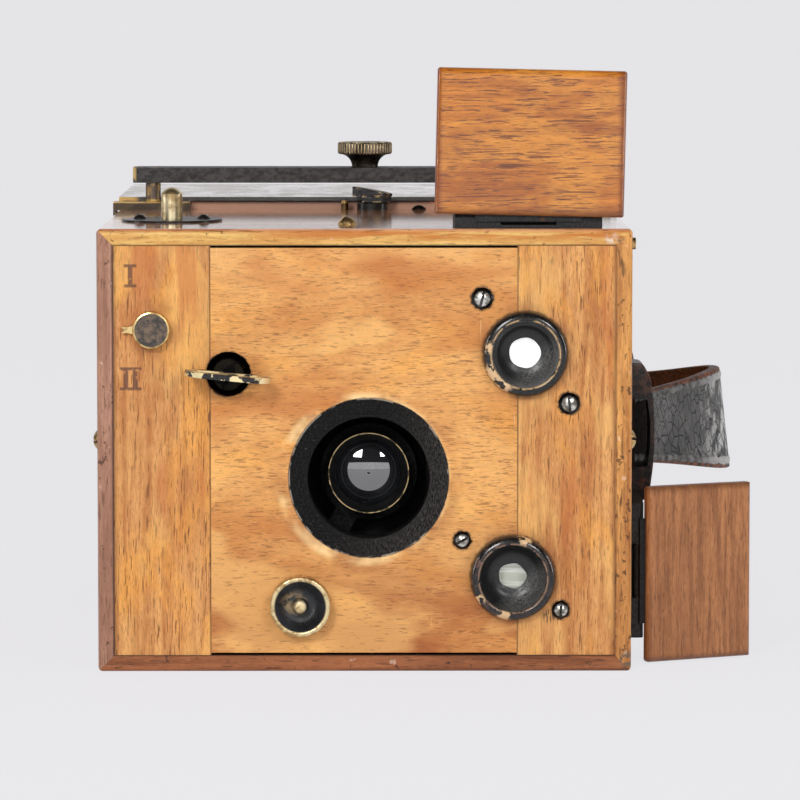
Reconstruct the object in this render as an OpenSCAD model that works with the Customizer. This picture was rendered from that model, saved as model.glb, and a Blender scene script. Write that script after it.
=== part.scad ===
// Wooden detective camera for 9 x 12 cm plates: a mitred box with a three-board front,
// a reflecting finder on the top and one on the right side, a sector shutter wound by a key,
// a plate magazine under a sliding metal cover and a leather handle.
// The origin is the mouth of the tripod bush, in the middle of the underside.
// The front faces -Y, X points right of someone who looks at the front, Z points up.

/* [Case] */
// Width of the case over its side walls
case_w = 160; // [152:1:172]
// Height of the case
case_h = 133; // [130:1:145]
// Depth of the case from front to back
case_d = 230; // [222:1:250]
// Thickness of the four mitred walls
wall_t = 5; // [4:0.1:6]
// Radius worn on the outer edges
edge_r = 1.6; // [0.6:0.1:2]
// Thickness of the front boards and the back panel
panel_t = 6; // [5:0.1:8]
// Depth of the panels' faces behind the edges of the walls
panel_inset = 0.3; // [0.1:0.1:1]
// Gap above and below the middle front board
board_gap = 0.7; // [0.2:0.1:1]
// Width of the left front board
left_stile_w = 29; // [24:0.5:30]
// Width of the right front board
right_stile_w = 29.4; // [26:0.1:32]

/* [Lens] */
// Lens axis right of the middle
lens_x = 1.2; // [-2:0.1:4]
// Height of the lens axis
lens_z = 58.4; // [54:0.1:62]
// Radius of the black turned ring in the front
lens_ring_r = 24; // [21:0.1:25]
// Radius of the ring's mouth
lens_mouth_r = 18.3; // [15:0.1:19]
// Length of the ring from front to back
lens_ring_l = 11; // [8:0.5:13]
// Lens rim behind the front edge of the case
barrel_set = 14.7; // [13:0.1:18]
// Radius of the lens barrel's tube
barrel_r = 11.6; // [11:0.1:12.4]
// Radius of the brass rim on the barrel
barrel_rim_r = 12.2; // [11.8:0.1:13.4]
// Length of the brass rim
barrel_rim_l = 3; // [2:0.5:4]
// Wall of the barrel
barrel_wall = 1.6; // [1:0.1:2]
// Depth of the bevel inside the brass rim
front_bevel = 2.2; // [1:0.1:2.6]
// Length of the barrel
barrel_l = 34; // [32:0.5:34]
// Radius of curvature of the lens elements
element_curve_r = 22; // [18:1:30]
// Thickness of the lens elements at the middle
element_t = 6; // [5.6:0.1:7]
// Radius of the hole in the stop
stop_r = 4; // [1:0.5:6]
// Thickness of the stop and the other thin shutter leaves
leaf_t = 0.8; // [0.5:0.1:1]
// Wall of the sleeve in which the barrel slides
sleeve_wall = 1.6; // [1:0.1:2]
// Length of the sleeve
sleeve_l = 16; // [12:0.5:18]
// Radius of the sleeve's flange
flange_r = 17; // [16:0.5:20]
// Thickness of the sleeve's flange
flange_t = 2; // [1:0.1:3]
// Front face of the lens board behind the front edge of the case
lens_board_set = 33; // [32:0.5:36]
// Thickness of the lens board
lens_board_t = 6; // [5:0.5:7]

/* [Focusing] */
// Focusing knob left of the lens axis
knob_dx = 20.5; // [17:0.1:23]
// Height of the focusing knob
knob_z = 20.2; // [17:0.1:22]
// Radius of the focusing knob
knob_r = 9.1; // [7:0.1:10]
// Height of the knob in front of the front boards
knob_h = 5.6; // [4:0.1:8]
// Radius of the dish turned in the knob
dish_r = 7.7; // [5:0.1:8]
// Depth of the dish
dish_d = 3; // [1:0.1:3.4]
// Radius of the boss in the dish
boss_r = 2.4; // [1.5:0.1:3]
// Radius of the focusing screw
focus_screw_r = 2; // [1.5:0.1:2.5]
// Thickness of the arm between the barrel and the focusing screw
arm_t = 3; // [2:0.5:4]
// Width of that arm
arm_w = 7; // [5:0.5:9]
// Arm behind the lens rim
arm_set = 6; // [5:0.5:7]

/* [Shutter] */
// Winding arbor left of the lens axis
arbor_dx = 41.9; // [39:0.1:43]
// Height of the winding arbor above the lens axis
arbor_dz = 31.2; // [29:0.1:33]
// Radius of the winding arbor
arbor_r = 3; // [2:0.1:3.5]
// Radius of the key hole in the front
key_hole_r = 6.7; // [6.2:0.1:8]
// Span of the key's two wings
key_span = 25.5; // [20:0.5:28]
// Length of the wings from front to back
key_depth = 14; // [10:0.5:18]
// Thickness of the key's wings
key_t = 1.6; // [1:0.1:2.4]
// Turn of the key away from level
key_turn = 5.5; // [0:0.5:20]
// Radius of the key's pipe
key_pipe_r = 4.6; // [4.3:0.1:5.6]
// Length of the key's pipe
key_pipe_l = 10; // [6:0.5:12]
// Gap between the key's wings and the front edge of the case
key_gap = 1.4; // [1:0.1:3]
// Radius of the spring drum
drum_r = 14; // [12:0.5:15]
// Length of the spring drum
drum_l = 10; // [8:0.5:11]
// Wall of the spring drum
drum_wall = 1.2; // [0.8:0.1:2]
// Thickness of the mainspring's strip
spring_t = 0.6; // [0.4:0.1:0.8]
// Number of turns of the mainspring
spring_turns = 5; // [3:1:6]
// Radius of the shutter blade's disc
blade_r = 16.5; // [15:0.5:18]
// Reach of the pipe into the key's wings
key_root = 2; // [1:0.1:4]
// Radius of the eyes in the key's wings
key_eye_r = 3.5; // [2:0.1:4]
// Radius of the ratchet wheel on the arbor
ratchet_r = 7; // [6:0.5:8]
// Depth of the ratchet wheel's teeth
ratchet_tooth = 1.4; // [0.8:0.1:1.8]
// Number of teeth on the ratchet wheel
ratchet_teeth = 14; // [10:1:20]
// Thickness of the ratchet wheel and its pawl
ratchet_t = 2; // [1:0.1:3]
// Click pawl's stud right of the arbor
pawl_dx = 13; // [12:0.5:14]
// Height of the click pawl's stud above the arbor
pawl_dz = 6; // [4:0.5:8]
// Radius of the click pawl's hub
pawl_hub_r = 2.4; // [2:0.1:3]
// Radius of the click pawl's stud
pawl_stud_r = 1; // [0.8:0.1:1.2]
// Thickness of the shutter's back plate
shutter_plate_t = 1.5; // [1:0.1:2]
// Gap between the shutter blade and the back plate
plate_gap = 4; // [2:0.5:6]
// Radius of the pillars that carry the back plate
pillar_r = 2.5; // [2:0.1:3]
// Lap of the shutter blade over the back plate's hole
plate_lap = 2; // [1:0.1:4]
// Edge of the back plate round its pillars
plate_edge = 5; // [3:0.5:6]
// Height of the upper left pillar above the arbor
left_pillar_dz = 22.4; // [20:0.1:23]
// Upper left pillar left of the arbor
left_pillar_dx = 8.3; // [6:0.1:10]
// Right pillars from the lens axis
right_pillar_dx = 20.7; // [20:0.1:21]
// Height of the upper right pillar above the lens axis
right_pillar_up = 40; // [32:0.5:48]
// Depth of the lower right pillar below the lens axis
right_pillar_down = 28.4; // [26:0.2:32]
// Lower left pillar left of the arbor
low_pillar_dx = 20.3; // [19:0.1:24]
// Depth of the lower left pillar below the lens axis
low_pillar_dz = 20.4; // [18:0.2:26]

/* [Selector] */
// Selector disc from the left side
selector_edge = 16.4; // [14:0.1:18]
// Selector disc below the top
selector_drop = 30.1; // [26:0.1:34]
// Radius of the selector disc
selector_r = 5.6; // [5:0.1:7]
// Thickness of the selector disc
selector_t = 3.4; // [2:0.1:4]
// Reach of the selector's pointer from its middle
pointer_l = 8.9; // [7.5:0.1:10]
// Width of the selector's pointer at its root
pointer_w = 3.2; // [2:0.1:4]
// Thickness of the selector's pointer
pointer_t = 1.4; // [0.8:0.1:2]
// Radius of the selector's spindle
selector_spindle_r = 1.5; // [1:0.1:2]
// Reach of the selector's cam behind the front
cam_l = 9; // [6:0.5:10]
// Width of the selector's cam
cam_w = 3; // [2:0.5:4]
// Thickness of the selector's cam
cam_t = 2; // [1:0.5:3]

/* [Release button] */
// Release button from the left side
button_edge = 20.6; // [18.8:0.1:21.5]
// Button behind the front edge of the case
button_set = 50; // [49:0.5:51]
// Radius of the button
button_r = 3.25; // [2.5:0.05:4]
// Height of the button above the case
button_h = 10.3; // [8:0.1:13]
// Travel of the button
button_travel = 3; // [2:0.1:3.2]
// Radius of the button's rod
rod_r = 1.5; // [1:0.1:1.8]
// Radius of the escutcheon round the button
escutcheon_r = 15.5; // [14:0.5:17]
// Thickness of the escutcheon
escutcheon_t = 0.6; // [0.5:0.1:2]
// Latch pivot left of the button's rod
latch_reach = 8.2; // [7.5:0.1:8.8]
// Height of the dome on the button
button_dome = 2; // [1:0.1:2]
// Radius of the collar that stops the rod under the top
collar_r = 2.7; // [2.2:0.1:3.2]
// Thickness of that collar
collar_t = 1.2; // [0.8:0.1:2]
// Height of the latch pivot above the arbor
latch_dz = 2.4; // [0.4:0.1:4]
// Height of the latch lever
latch_h = 5.2; // [4:0.1:6]
// Thickness of the latch lever from front to back
latch_t = 3.8; // [3:0.1:5]
// Radius of the latch's stud
latch_stud_r = 1.2; // [0.8:0.1:1.6]
// Gap between the latch's nose and the drum
latch_gap = 1.4; // [1:0.1:2]
// Latch spring's foot below the latch
latch_spring_drop = 5; // [4:0.5:8]
// Latch spring's foot left of the stud
latch_foot_dx = 5; // [4:0.1:5.4]
// Thickness of the latch spring
latch_spring_t = 0.4; // [0.3:0.1:0.6]

/* [Finders] */
// Upper finder lens from the right side
upper_finder_edge = 32; // [30:0.1:34]
// Upper finder lens below the top
upper_finder_drop = 37.3; // [36:0.1:40]
// Lower finder lens from the right side
lower_finder_edge = 35.6; // [34:0.1:37]
// Height of the lower finder lens
lower_finder_z = 28.5; // [27:0.1:31]
// Offset of the top screen right of its lens
top_screen_shift = 1; // [-1:0.1:2]
// Radius of the finder bezels
bezel_r = 12.8; // [11:0.1:13]
// Height of the bezels in front of the boards
bezel_h = 4.4; // [3:0.1:6]
// Radius of the bezels' shanks
bezel_shank_r = 8.6; // [7:0.1:9.4]
// Radius of the hole in the bezels
bezel_hole_r = 4.65; // [3:0.05:6]
// Width of the bezels' worn lip
bezel_lip = 0.7; // [0.4:0.1:1]
// Width of the bezels' rounded edge outside the lip
bezel_round = 1.9; // [1:0.1:2.4]
// Depth at which the bezels' funnel ends behind their seat
funnel_end = 3.6; // [2:0.1:5]
// Radius of the finder lenses
finder_lens_r = 7; // [6:0.1:8]
// Radius of curvature of the finder lenses
finder_curve_r = 18.2; // [18:0.1:30]
// Thickness of the finder lenses
finder_lens_t = 3; // [2.6:0.1:4]
// Inside width of the finder boxes
finder_box_in = 30.4; // [29:0.1:31]
// Wall of the finder boxes
finder_box_t = 1.5; // [1:0.1:1.8]
// Thickness of the finder mirrors
mirror_t = 1.6; // [1:0.1:2]
// Width of the windows over the mirrors
window_w = 28; // [24:0.5:29]
// Width of the ground glasses
screen_w = 31.2; // [30:0.1:31.6]
// Thickness of the ground glasses
screen_t = 2; // [1.4:0.1:2.4]
// Height of the black frames on the case
base_h = 4.5; // [4.2:0.1:6]
// Depth of the black frames from front to back
base_d = 39; // [38:0.5:41]
// Length of the top frame
top_base_l = 44; // [40:0.5:46]
// Length of the side frame
side_base_l = 41; // [36:0.1:42]
// Top frame behind the front edge of the case
top_base_set = 3; // [2.5:0.5:5]
// Side frame behind the front edge of the case
side_base_set = 16; // [14:0.5:16]
// Length of the top lid along its hinge
top_lid_l = 56.5; // [50:0.5:60]
// Width of the top lid from hinge to free edge
top_lid_d = 43.6; // [42:0.2:48]
// Thickness of the top lid
top_lid_t = 3.8; // [3:0.1:5]
// Slant at which the top lid is screwed on its hinge
top_lid_skew = 1.3; // [0:0.1:2]
// Length of the side lid along its hinge
side_lid_l = 53.6; // [48:0.2:54]
// Width of the side lid from hinge to free edge
side_lid_d = 36; // [34:0.5:37]
// Thickness of the side lid
side_lid_t = 3; // [2.5:0.1:4]
// Angle by which the top lid stands open
top_lid_open = 90; // [60:1:95]
// Angle by which the side lid stands open
side_lid_open = 64; // [40:1:95]
// Radius of the lids' rounded edges
lid_edge_r = 1.8; // [0.5:0.1:2.4]
// Radius of the lids' corners
lid_corner_r = 1; // [0.5:0.1:1.4]
// Height of the side lid's middle below its finder's lens
side_lid_drop = 1.1; // [0:0.1:1.4]
// Radius of the hinge knuckles
knuckle_r = 1.6; // [1.4:0.1:1.9]
// Radius of the hinge pins
hinge_pin_r = 0.8; // [0.6:0.1:0.9]
// Length of the lids' middle knuckle
knuckle_l = 16; // [10:0.5:20]
// Thickness of the hinge leaves
hinge_leaf_t = 0.8; // [0.5:0.1:1]
// Length of the hinge leaves along the hinge
hinge_leaf_l = 32; // [22:0.5:36]
// Reach of the hinge leaves under the lids
hinge_leaf_d = 13; // [8:0.5:20]
// Lids' rear edge from the hinge pin
lid_set = 1; // [0.6:0.1:1.4]

/* [Plate magazine] */
// Width of the glass plates
plate_w = 120; // [118:1:121]
// Height of the glass plates
plate_h = 90; // [86:1:91]
// Thickness of the glass plates
plate_t = 1.6; // [1:0.1:1.8]
// Number of plates in their sheaths
plate_count = 12; // [6:1:12]
// Pitch of the sheaths
sheath_pitch = 4; // [3.6:0.1:4.1]
// Thickness of a sheath
sheath_t = 3; // [2.6:0.1:3.2]
// Thickness of the sheaths' metal
sheath_wall = 0.6; // [0.4:0.1:0.8]
// Play of the plates in their sheaths, on each side
sheath_play = 0.4; // [0.2:0.1:0.6]
// Width of the sheaths' lips over the plate
sheath_lip = 2.4; // [1:0.1:4]
// Image frame behind the front edge of the case
image_frame_set = 161; // [158:1:162]
// Thickness of the image frame
image_frame_t = 4; // [3:0.5:5]
// Lap of the image frame over the plate's edges
image_lap = 2; // [1:0.5:4]
// Thickness of the magazine's side boards
cheek_t = 4; // [3:0.5:4]
// Width of the ledges that carry the sheaths
ledge_w = 8; // [4:0.5:12]
// Back panel's screws from the sheaths' ends
back_screw_in = 12; // [8:0.5:20]
// Thickness of the pressure board behind the sheaths
pressure_t = 3; // [2:0.5:4]
// Thickness of the pressure springs
pressure_spring_t = 0.7; // [0.4:0.1:1]
// Length of the pressure springs
pressure_spring_l = 68; // [50:1:80]
// Width of the pressure springs
pressure_spring_w = 10; // [6:0.5:14]
// Raised rim behind the front edge of the case
rim_set = 127.3; // [126:0.1:130]
// Height of the raised rim on the case
rim_h = 2.4; // [2:0.1:3]
// Thickness of the sliding cover
cover_t = 1.2; // [0.8:0.1:1.5]
// Height of the cover's side lips below its underside
cover_lip = 1.9; // [1:0.1:2.2]

/* [Bridge and turn button] */
// Length of the bridge bar beyond its posts
bar_end = 6.5; // [5:0.1:8]
// Radius of the bar's corners
bar_corner_r = 2.4; // [1:0.1:4]
// Width of the bar from front to back
bar_w = 16; // [14:0.5:18]
// Thickness of the bar
bar_t = 4.8; // [3:0.1:5]
// Height of the bar's underside above the case
bar_lift = 8.8; // [8:0.1:11]
// Posts from the sides of the case
post_edge = 11.7; // [10:0.1:14]
// Posts behind the front edge of the case
post_set = 122.5; // [122:0.1:123]
// Radius of the posts
post_r = 2.43; // [2:0.01:3]
// Radius of the posts' necks
neck_r = 1.6; // [1.2:0.1:1.8]
// Posts behind the bar's front edge
bar_front = 3; // [2.8:0.1:3.5]
// Length of the shoes on the top
shoe_l = 23.6; // [18:0.1:30]
// Width of the shoes from front to back
shoe_w = 9; // [7:0.5:9]
// Thickness of the shoes
shoe_t = 2.6; // [1:0.1:3]
// Length of the shoes' hooks down the side of the case
hook_l = 3.6; // [2:0.1:6]
// Thickness of the shoes' hooks
hook_t = 1; // [0.8:0.1:1.4]
// Radius of the thumbscrew's head
thumb_r = 8.8; // [7:0.1:9]
// Thickness of the thumbscrew's milled rim
thumb_rim_t = 3.9; // [3:0.1:5]
// Height of the thumbscrew's neck
thumb_neck_h = 4.1; // [3:0.1:6]
// Radius of the thumbscrew's neck
thumb_neck_r = 4.2; // [3.5:0.1:5]
// Radius of the thumbscrew's thread
thumb_thread_r = 2.4; // [2:0.1:3]
// Thumbscrew behind the bar's front edge
thumb_back = 10.5; // [9:0.5:11]
// Turn button from the middle
turn_x = 2.4; // [0:0.1:5]
// Turn button behind the front edge of the case
turn_set = 122; // [121.8:0.1:122.2]
// Length of the turn button
turn_l = 13; // [12.6:0.1:13.4]
// Width of the turn button
turn_w = 7.6; // [6:0.1:9]
// Height of the turn button's nose
nose_h = 2.9; // [2:0.1:3.4]
// Length of the turn button's points
nose_l = 2.4; // [1.5:0.1:3]
// Radius of the disc under the turn button
turn_base_r = 5; // [4.5:0.1:5.2]
// Height of the disc under the turn button
turn_base_h = 2.2; // [1.5:0.1:2.3]
// Angle of the turn button at rest
turn_rest = 8; // [0:1:20]
// Small screw right of the turn button
turn_screw_dx = 15; // [12:0.5:18]
// Radius of the turn button's pivot
turn_pivot_r = 1.5; // [1:0.1:2]

/* [Handle] */
// Keepers before and behind the middle
keeper_y = 51; // [50.5:0.1:56]
// Height of the handle's middle above the middle of the case
handle_dz = 0.1; // [-0.3:0.1:1.5]
// Width of the keepers from front to back
keeper_w = 16; // [12:0.5:16.4]
// Height of the keepers' arch
keeper_h = 43.8; // [42:0.2:46]
// Reach of the keepers' arch out from the case
keeper_out = 10.1; // [9.9:0.1:13]
// Thickness of the keepers' leather
keeper_t = 1.5; // [1.2:0.1:2]
// Reach of the keepers' flat ends out from the case
keeper_foot_t = 6.4; // [5:0.1:7]
// Height of the keepers' bands above and below the loop
keeper_band = 10.4; // [7:0.1:10.8]
// Length of the tongues above and below the arch
tongue_l = 5.1; // [4.8:0.1:5.6]
// Thickness of the tongues
tongue_t = 1.4; // [1:0.1:2]
// Thickness of the leather strap
strap_t = 3.4; // [3:0.1:3.6]
// Width of the strap in the keepers
strap_end_w = 21.4; // [18:0.2:24]
// Width of the strap in the middle
strap_mid_w = 32.8; // [28:0.2:36]
// Flare of the strap inside the keepers, above and below
strap_flare = 0.4; // [0:0.1:2.6]
// Reach of the strap out from the case
strap_out = 36; // [30:0.5:42]
// Length of the strap beyond the keepers' middle
strap_tail = 11; // [9:0.5:14]

/* [Fasteners and mount] */
// Stud from the front edge
stud_set = 7; // [5:0.1:10]
// Stud below the top
stud_drop = 4.7; // [4:0.1:6]
// Head radius of the stud
stud_r = 1.8; // [1.2:0.1:2]
// Height of the stud's head
stud_h = 1.2; // [0.8:0.1:2]
// Pin radius of the stud
stud_pin_r = 1; // [0.6:0.1:1.2]
// Round-head brass screw left of the middle
front_brass_dx = 5.3; // [0:0.1:8]
// Round-head brass screw from the front edge
front_brass_set = 27; // [20:0.5:40]
// Head radius of the round-head brass screw
front_brass_r = 2.9; // [2:0.1:3.5]
// Head height of the round-head brass screw
front_brass_h = 2.4; // [1.5:0.1:2.8]
// Radius of the stop pin beside the turn button
stop_pin_r = 1.2; // [0.8:0.1:1.6]
// Height of the stop pin
stop_pin_h = 3; // [2:0.1:3.6]
// Head radius of the two upper screws in the front
upper_screw_r = 3.3; // [2.4:0.1:3.5]
// Head radius of the two lower screws in the front
lower_screw_r = 2.7; // [2.4:0.1:3.3]
// Head radius of the escutcheon's screws
escutcheon_screw_r = 2.1; // [2:0.1:3.2]
// Head radius of the small screws
small_screw_r = 2.4; // [2:0.1:2.4]
// Escutcheon's screws from the button
escutcheon_screw_x = 9.8; // [8:0.1:11.5]
// Head height of the wood screws
screw_head_h = 1.5; // [1:0.1:2]
// Shank radius of the wood screws
screw_shank_r = 1.2; // [0.8:0.1:1.4]
// Shank length of the wood screws
screw_shank_l = 4; // [3:0.1:4.4]
// Shank length of the back panel's screws
back_screw_l = 14; // [10:0.5:18]
// Width of the screws' slots
slot_w = 0.8; // [0.5:0.1:1]
// Head radius of the two big side screws
side_screw_head_r = 3.85; // [3:0.05:4.5]
// Head height of the two big side screws
side_screw_head_h = 3.2; // [2.4:0.1:3.4]
// Shank radius of the two big side screws
side_screw_shank_r = 1.8; // [1.2:0.1:2]
// Shank length of the two big side screws
side_screw_shank_l = 14; // [10:0.5:16]
// Radius of the tripod bush's tapped bore
bush_bore_r = 3.97; // [3:0.01:4.8]
// Depth of the tripod bush's thread bore
bush_l = 9; // [8:0.5:11]
// Radius of the tripod bush's body
bush_body_r = 7; // [6:0.5:8]
// Radius of the tripod bush's flange
bush_flange_r = 14; // [12:0.5:16]
// Thickness of the tripod bush's flange
bush_flange_t = 2; // [1.5:0.1:2.4]

/* [Fits] */
// Radial clearance of a shaft that turns or slides
run_fit = 0.05; // [0.02:0.01:0.09]
// Radial clearance of a piece that is set in its seat
seat_fit = 0.05; // [0.02:0.01:0.1]
// Clearance between faces that pass each other
pass_gap = 0.3; // [0.25:0.05:0.4]

/* [Hidden] */

$fn = 64;
// Small overshoot of cutting shapes
cut = 1;
// Depth of the pins and pivots in the wood
pin_depth = 3;
// Gap above a post on which a piece turns
pivot_gap = 0.2;
// Play of the sliding cover's lips beside the case
lip_play = 0.1;

// Planes of the case
front_y = -case_d / 2;
back_y = case_d / 2;
in_x = case_w / 2 - wall_t;
in_z0 = wall_t;
in_z1 = case_h - wall_t;
face_y = front_y + panel_inset;
board_back_y = face_y + panel_t;
back_face_y = back_y - panel_inset;
back_in_y = back_face_y - panel_t;
left_joint_x = -in_x + left_stile_w;
right_joint_x = in_x - right_stile_w;

// Places on the front
knob_x = lens_x - knob_dx;
arbor_x = lens_x - arbor_dx;
arbor_z = lens_z + arbor_dz;
selector_x = -case_w / 2 + selector_edge;
selector_z = case_h - selector_drop;
upper_finder_x = case_w / 2 - upper_finder_edge;
upper_finder_z = case_h - upper_finder_drop;
lower_finder_x = case_w / 2 - lower_finder_edge;

// Planes of the lens and shutter
rim_y = front_y + barrel_set;
barrel_back_y = rim_y + barrel_l;
lens_board_y = front_y + lens_board_set;
lens_board_back_y = lens_board_y + lens_board_t;
sleeve_r = barrel_r + run_fit;
sleeve_out_r = sleeve_r + sleeve_wall;
sleeve_y = lens_board_y + lens_board_t / 2 - sleeve_l / 2;
barrel_in_r = barrel_r - barrel_wall;
drum_y = lens_board_back_y + pass_gap;
blade_y = drum_y + drum_l;
plate_front_y = blade_y + leaf_t + plate_gap;
arm_y = rim_y + arm_set;
key_y = front_y - key_gap;
ratchet_y = lens_board_y - pass_gap - ratchet_t;
blade_reach = norm([lens_x - arbor_x, lens_z - arbor_z]);
blade_a = atan2(lens_z - arbor_z, lens_x - arbor_x);

// Places of the finders: the middle of each screen on the outside of its wall
screen_x = upper_finder_x + top_screen_shift;
top_screen_y = front_y + top_base_set + base_d / 2;
side_screen_y = front_y + side_base_set + base_d / 2;
top_axis_d = case_h - upper_finder_z;
side_axis_d = case_w / 2 - lower_finder_x;
box_half = finder_box_in / 2 + finder_box_t;
lens_hole_r = finder_lens_r + seat_fit;
hinge_y = -base_d / 2 + knuckle_r;
hinge_w = base_h - knuckle_r;
lid_w0 = base_h + pass_gap;
lid_y0 = hinge_y + lid_set;
leaf_half_l = hinge_leaf_l / 2;
rebate_w = screen_w + 2 * pass_gap;

// Places of the magazine
image_y = front_y + image_frame_set;
image_back_y = image_y + image_frame_t;
sheath_w = plate_w + 2 * (sheath_wall + sheath_play);
sheath_h = plate_h + 2 * (sheath_wall + sheath_play);
sheath_y = image_back_y + pass_gap;
sheath_z = lens_z - sheath_h / 2;
pressure_y = sheath_y + plate_count * sheath_pitch;
pressure_back_y = pressure_y + pressure_t;
cheek_x = sheath_w / 2 + pass_gap;
mouth_half_w = cheek_x;
mouth_y0 = image_back_y;
mouth_y1 = back_in_y;
rim_y0 = front_y + rim_set;
rim_half_w = case_w / 2 - cover_t - 2 * pass_gap - lip_play;
cover_half_w = case_w / 2 - pass_gap - lip_play;
cover_z = case_h + rim_h + pass_gap;

// Places of the bridge
post_x = case_w / 2 - post_edge;
shoe_x = case_w / 2 - shoe_l;
bar_half_l = post_x + bar_end;
post_y = front_y + post_set;
bar_y0 = post_y - bar_front;
bar_z = case_h + bar_lift;
post_top_z = bar_z - pivot_gap;
thumb_y = bar_y0 + thumb_back;
turn_y = front_y + turn_set;
turn_z = case_h + turn_base_h + pivot_gap;
nose_z = cover_z + cover_t + pass_gap;
button_x = -case_w / 2 + button_edge;
button_y = front_y + button_set;
latch_x = button_x - latch_reach;
latch_z = arbor_z + latch_dz;
rod_end_z = latch_z + latch_h / 2 + pass_gap;
handle_z = case_h / 2 + handle_dz;
side_screw_y = lens_board_y + lens_board_t / 2;

// Places of the keepers' and the back panel's screws
keeper_screw_x = case_w / 2 + tongue_t;
keeper_screw_dz = keeper_h / 2 + tongue_l / 2;
back_screw_dx = cheek_x + cheek_t / 2;
back_screw_dz = sheath_h / 2 - back_screw_in;

// Screws beside the bezels, from the bezel's middle, and the angles of their slots
upper_screw_places = [[-12.9, 16.5, 75], [13.2, -15, 95]];
lower_screw_places = [[-15.2, 11.1, 30], [14.4, -9.9, 88]];

// Every slotted wood screw: place on its seat, side to which it looks, slot angle, head, shank
wood_screw_list = concat(
  [for (p = upper_screw_places) [[upper_finder_x + p[0], face_y, upper_finder_z + p[1]],
    "front", p[2], upper_screw_r, screw_shank_l]],
  [for (p = lower_screw_places) [[lower_finder_x + p[0], face_y, lower_finder_z + p[1]],
    "front", p[2], lower_screw_r, screw_shank_l]],
  [[[turn_x + turn_screw_dx, post_y, case_h], "top", 10, small_screw_r, screw_shank_l]],
  [for (side = [-1, 1]) [[button_x + side * escutcheon_screw_x, button_y, case_h + escutcheon_t],
    "top", 42 + 23 * side, escutcheon_screw_r, screw_shank_l]],
  [for (dy = [-1, 1], dz = [-1, 1])
    [[keeper_screw_x, dy * keeper_y, handle_z + dz * keeper_screw_dz],
      "right", 38 + 22 * dy + 14 * dz, small_screw_r, screw_shank_l]],
  [for (dx = [-1, 1], dz = [-1, 1])
    [[lens_x + dx * back_screw_dx, back_face_y, lens_z + dz * back_screw_dz],
      "back", 40 * dx + 25 * dz, lower_screw_r, back_screw_l]]);

// Turns a shape that looks up so that it looks away from the named side
module look(side) {
  if (side == "front") rotate([90, 0, 0]) children();
  if (side == "top") children();
  if (side == "right") rotate([0, 90, 0]) children();
  if (side == "left") rotate([0, -90, 0]) children();
  if (side == "back") rotate([-90, 0, 0]) children();
}

// Extrudes an outline drawn in X and Z from plane y0 back to plane y1
module prism_y(y0, y1) {
  translate([0, y1, 0]) rotate([90, 0, 0]) linear_extrude(y1 - y0) children();
}

// Extrudes an outline drawn in Y and Z from plane x0 to plane x1
module prism_x(x0, x1) {
  translate([x0, 0, 0]) rotate([90, 0, 90]) linear_extrude(x1 - x0) children();
}

// Round bar along Y
module rod_y(x, z, y0, y1, r) {
  translate([x, y1, z]) rotate([90, 0, 0]) cylinder(r = r, h = y1 - y0);
}

// Tube along Y
module tube_y(x, z, y0, y1, r_out, r_in) {
  difference() {
    rod_y(x, z, y0, y1, r_out);
    rod_y(x, z, y0 - cut, y1 + cut, r_in);
  }
}

// Block between two corners
module block(p, q) {
  translate(p) cube(q - p);
}

// Rectangle about the middle with four rounded corners
module round_rect(w, h, r) {
  square([w - 2 * r, h], center = true);
  square([w, h - 2 * r], center = true);
  for (sx = [-1, 1], sz = [-1, 1])
    translate([sx * (w / 2 - r), sz * (h / 2 - r)]) circle(r = r);
}

// The case's outside, with its worn round edges
module case_outside() {
  intersection() {
    prism_y(front_y, back_y) translate([0, case_h / 2]) round_rect(case_w, case_h, edge_r);
    prism_x(-case_w / 2, case_w / 2) translate([0, case_h / 2]) round_rect(case_d, case_h, edge_r);
    linear_extrude(case_h) round_rect(case_w, case_d, edge_r);
  }
}

// Slotted round head on a shank, seated on z = 0 and looking up
module screw(head_r, head_h, shank_r, shank_l, slot_a) {
  dome_r = (head_r * head_r + head_h * head_h) / (2 * head_h);
  translate([0, 0, -shank_l]) cylinder(r = shank_r, h = shank_l + head_h / 2);
  difference() {
    intersection() {
      translate([0, 0, head_h - dome_r]) sphere(r = dome_r);
      cylinder(r = head_r, h = head_h);
    }
    translate([0, 0, head_h]) rotate([0, 0, slot_a])
      cube([2 * head_r + cut, slot_w, head_h], center = true);
  }
}

// Bores of the wood screws
module wood_screw_bores() {
  for (s = wood_screw_list)
    translate(s[0]) look(s[1]) translate([0, 0, -s[4] - seat_fit])
      cylinder(r = screw_shank_r + seat_fit, h = s[4] + cut);
}

// Bores of the two big side screws
module side_screw_bores() {
  for (side = [-1, 1])
    translate([side * case_w / 2, side_screw_y, handle_z]) look(side < 0 ? "left" : "right")
      translate([0, 0, -side_screw_shank_l - seat_fit])
        cylinder(r = side_screw_shank_r + seat_fit, h = side_screw_shank_l + cut);
}

// Pin of the small stud beside the top right corner
stud_y = front_y + stud_set;
stud_z = case_h - stud_drop;

module stud(extra) {
  translate([case_w / 2 - pin_depth, stud_y, stud_z]) rotate([0, 90, 0])
    cylinder(r = stud_pin_r + extra, h = pin_depth + stud_h / 2);
}

module side_wall(side) {
  difference() {
    intersection() {
      case_outside();
      prism_y(front_y, back_y)
        polygon([[side * case_w / 2, 0], [side * in_x, in_z0],
          [side * in_x, in_z1], [side * case_w / 2, case_h]]);
    }
    side_screw_bores();
    children();
  }
}

module left_wall() {
  color("sienna") side_wall(-1);
}

module right_wall() {
  color("peru") side_wall(1) {
    wood_screw_bores();
    stud(seat_fit);
    place_side() window_cut();
  }
}

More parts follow.
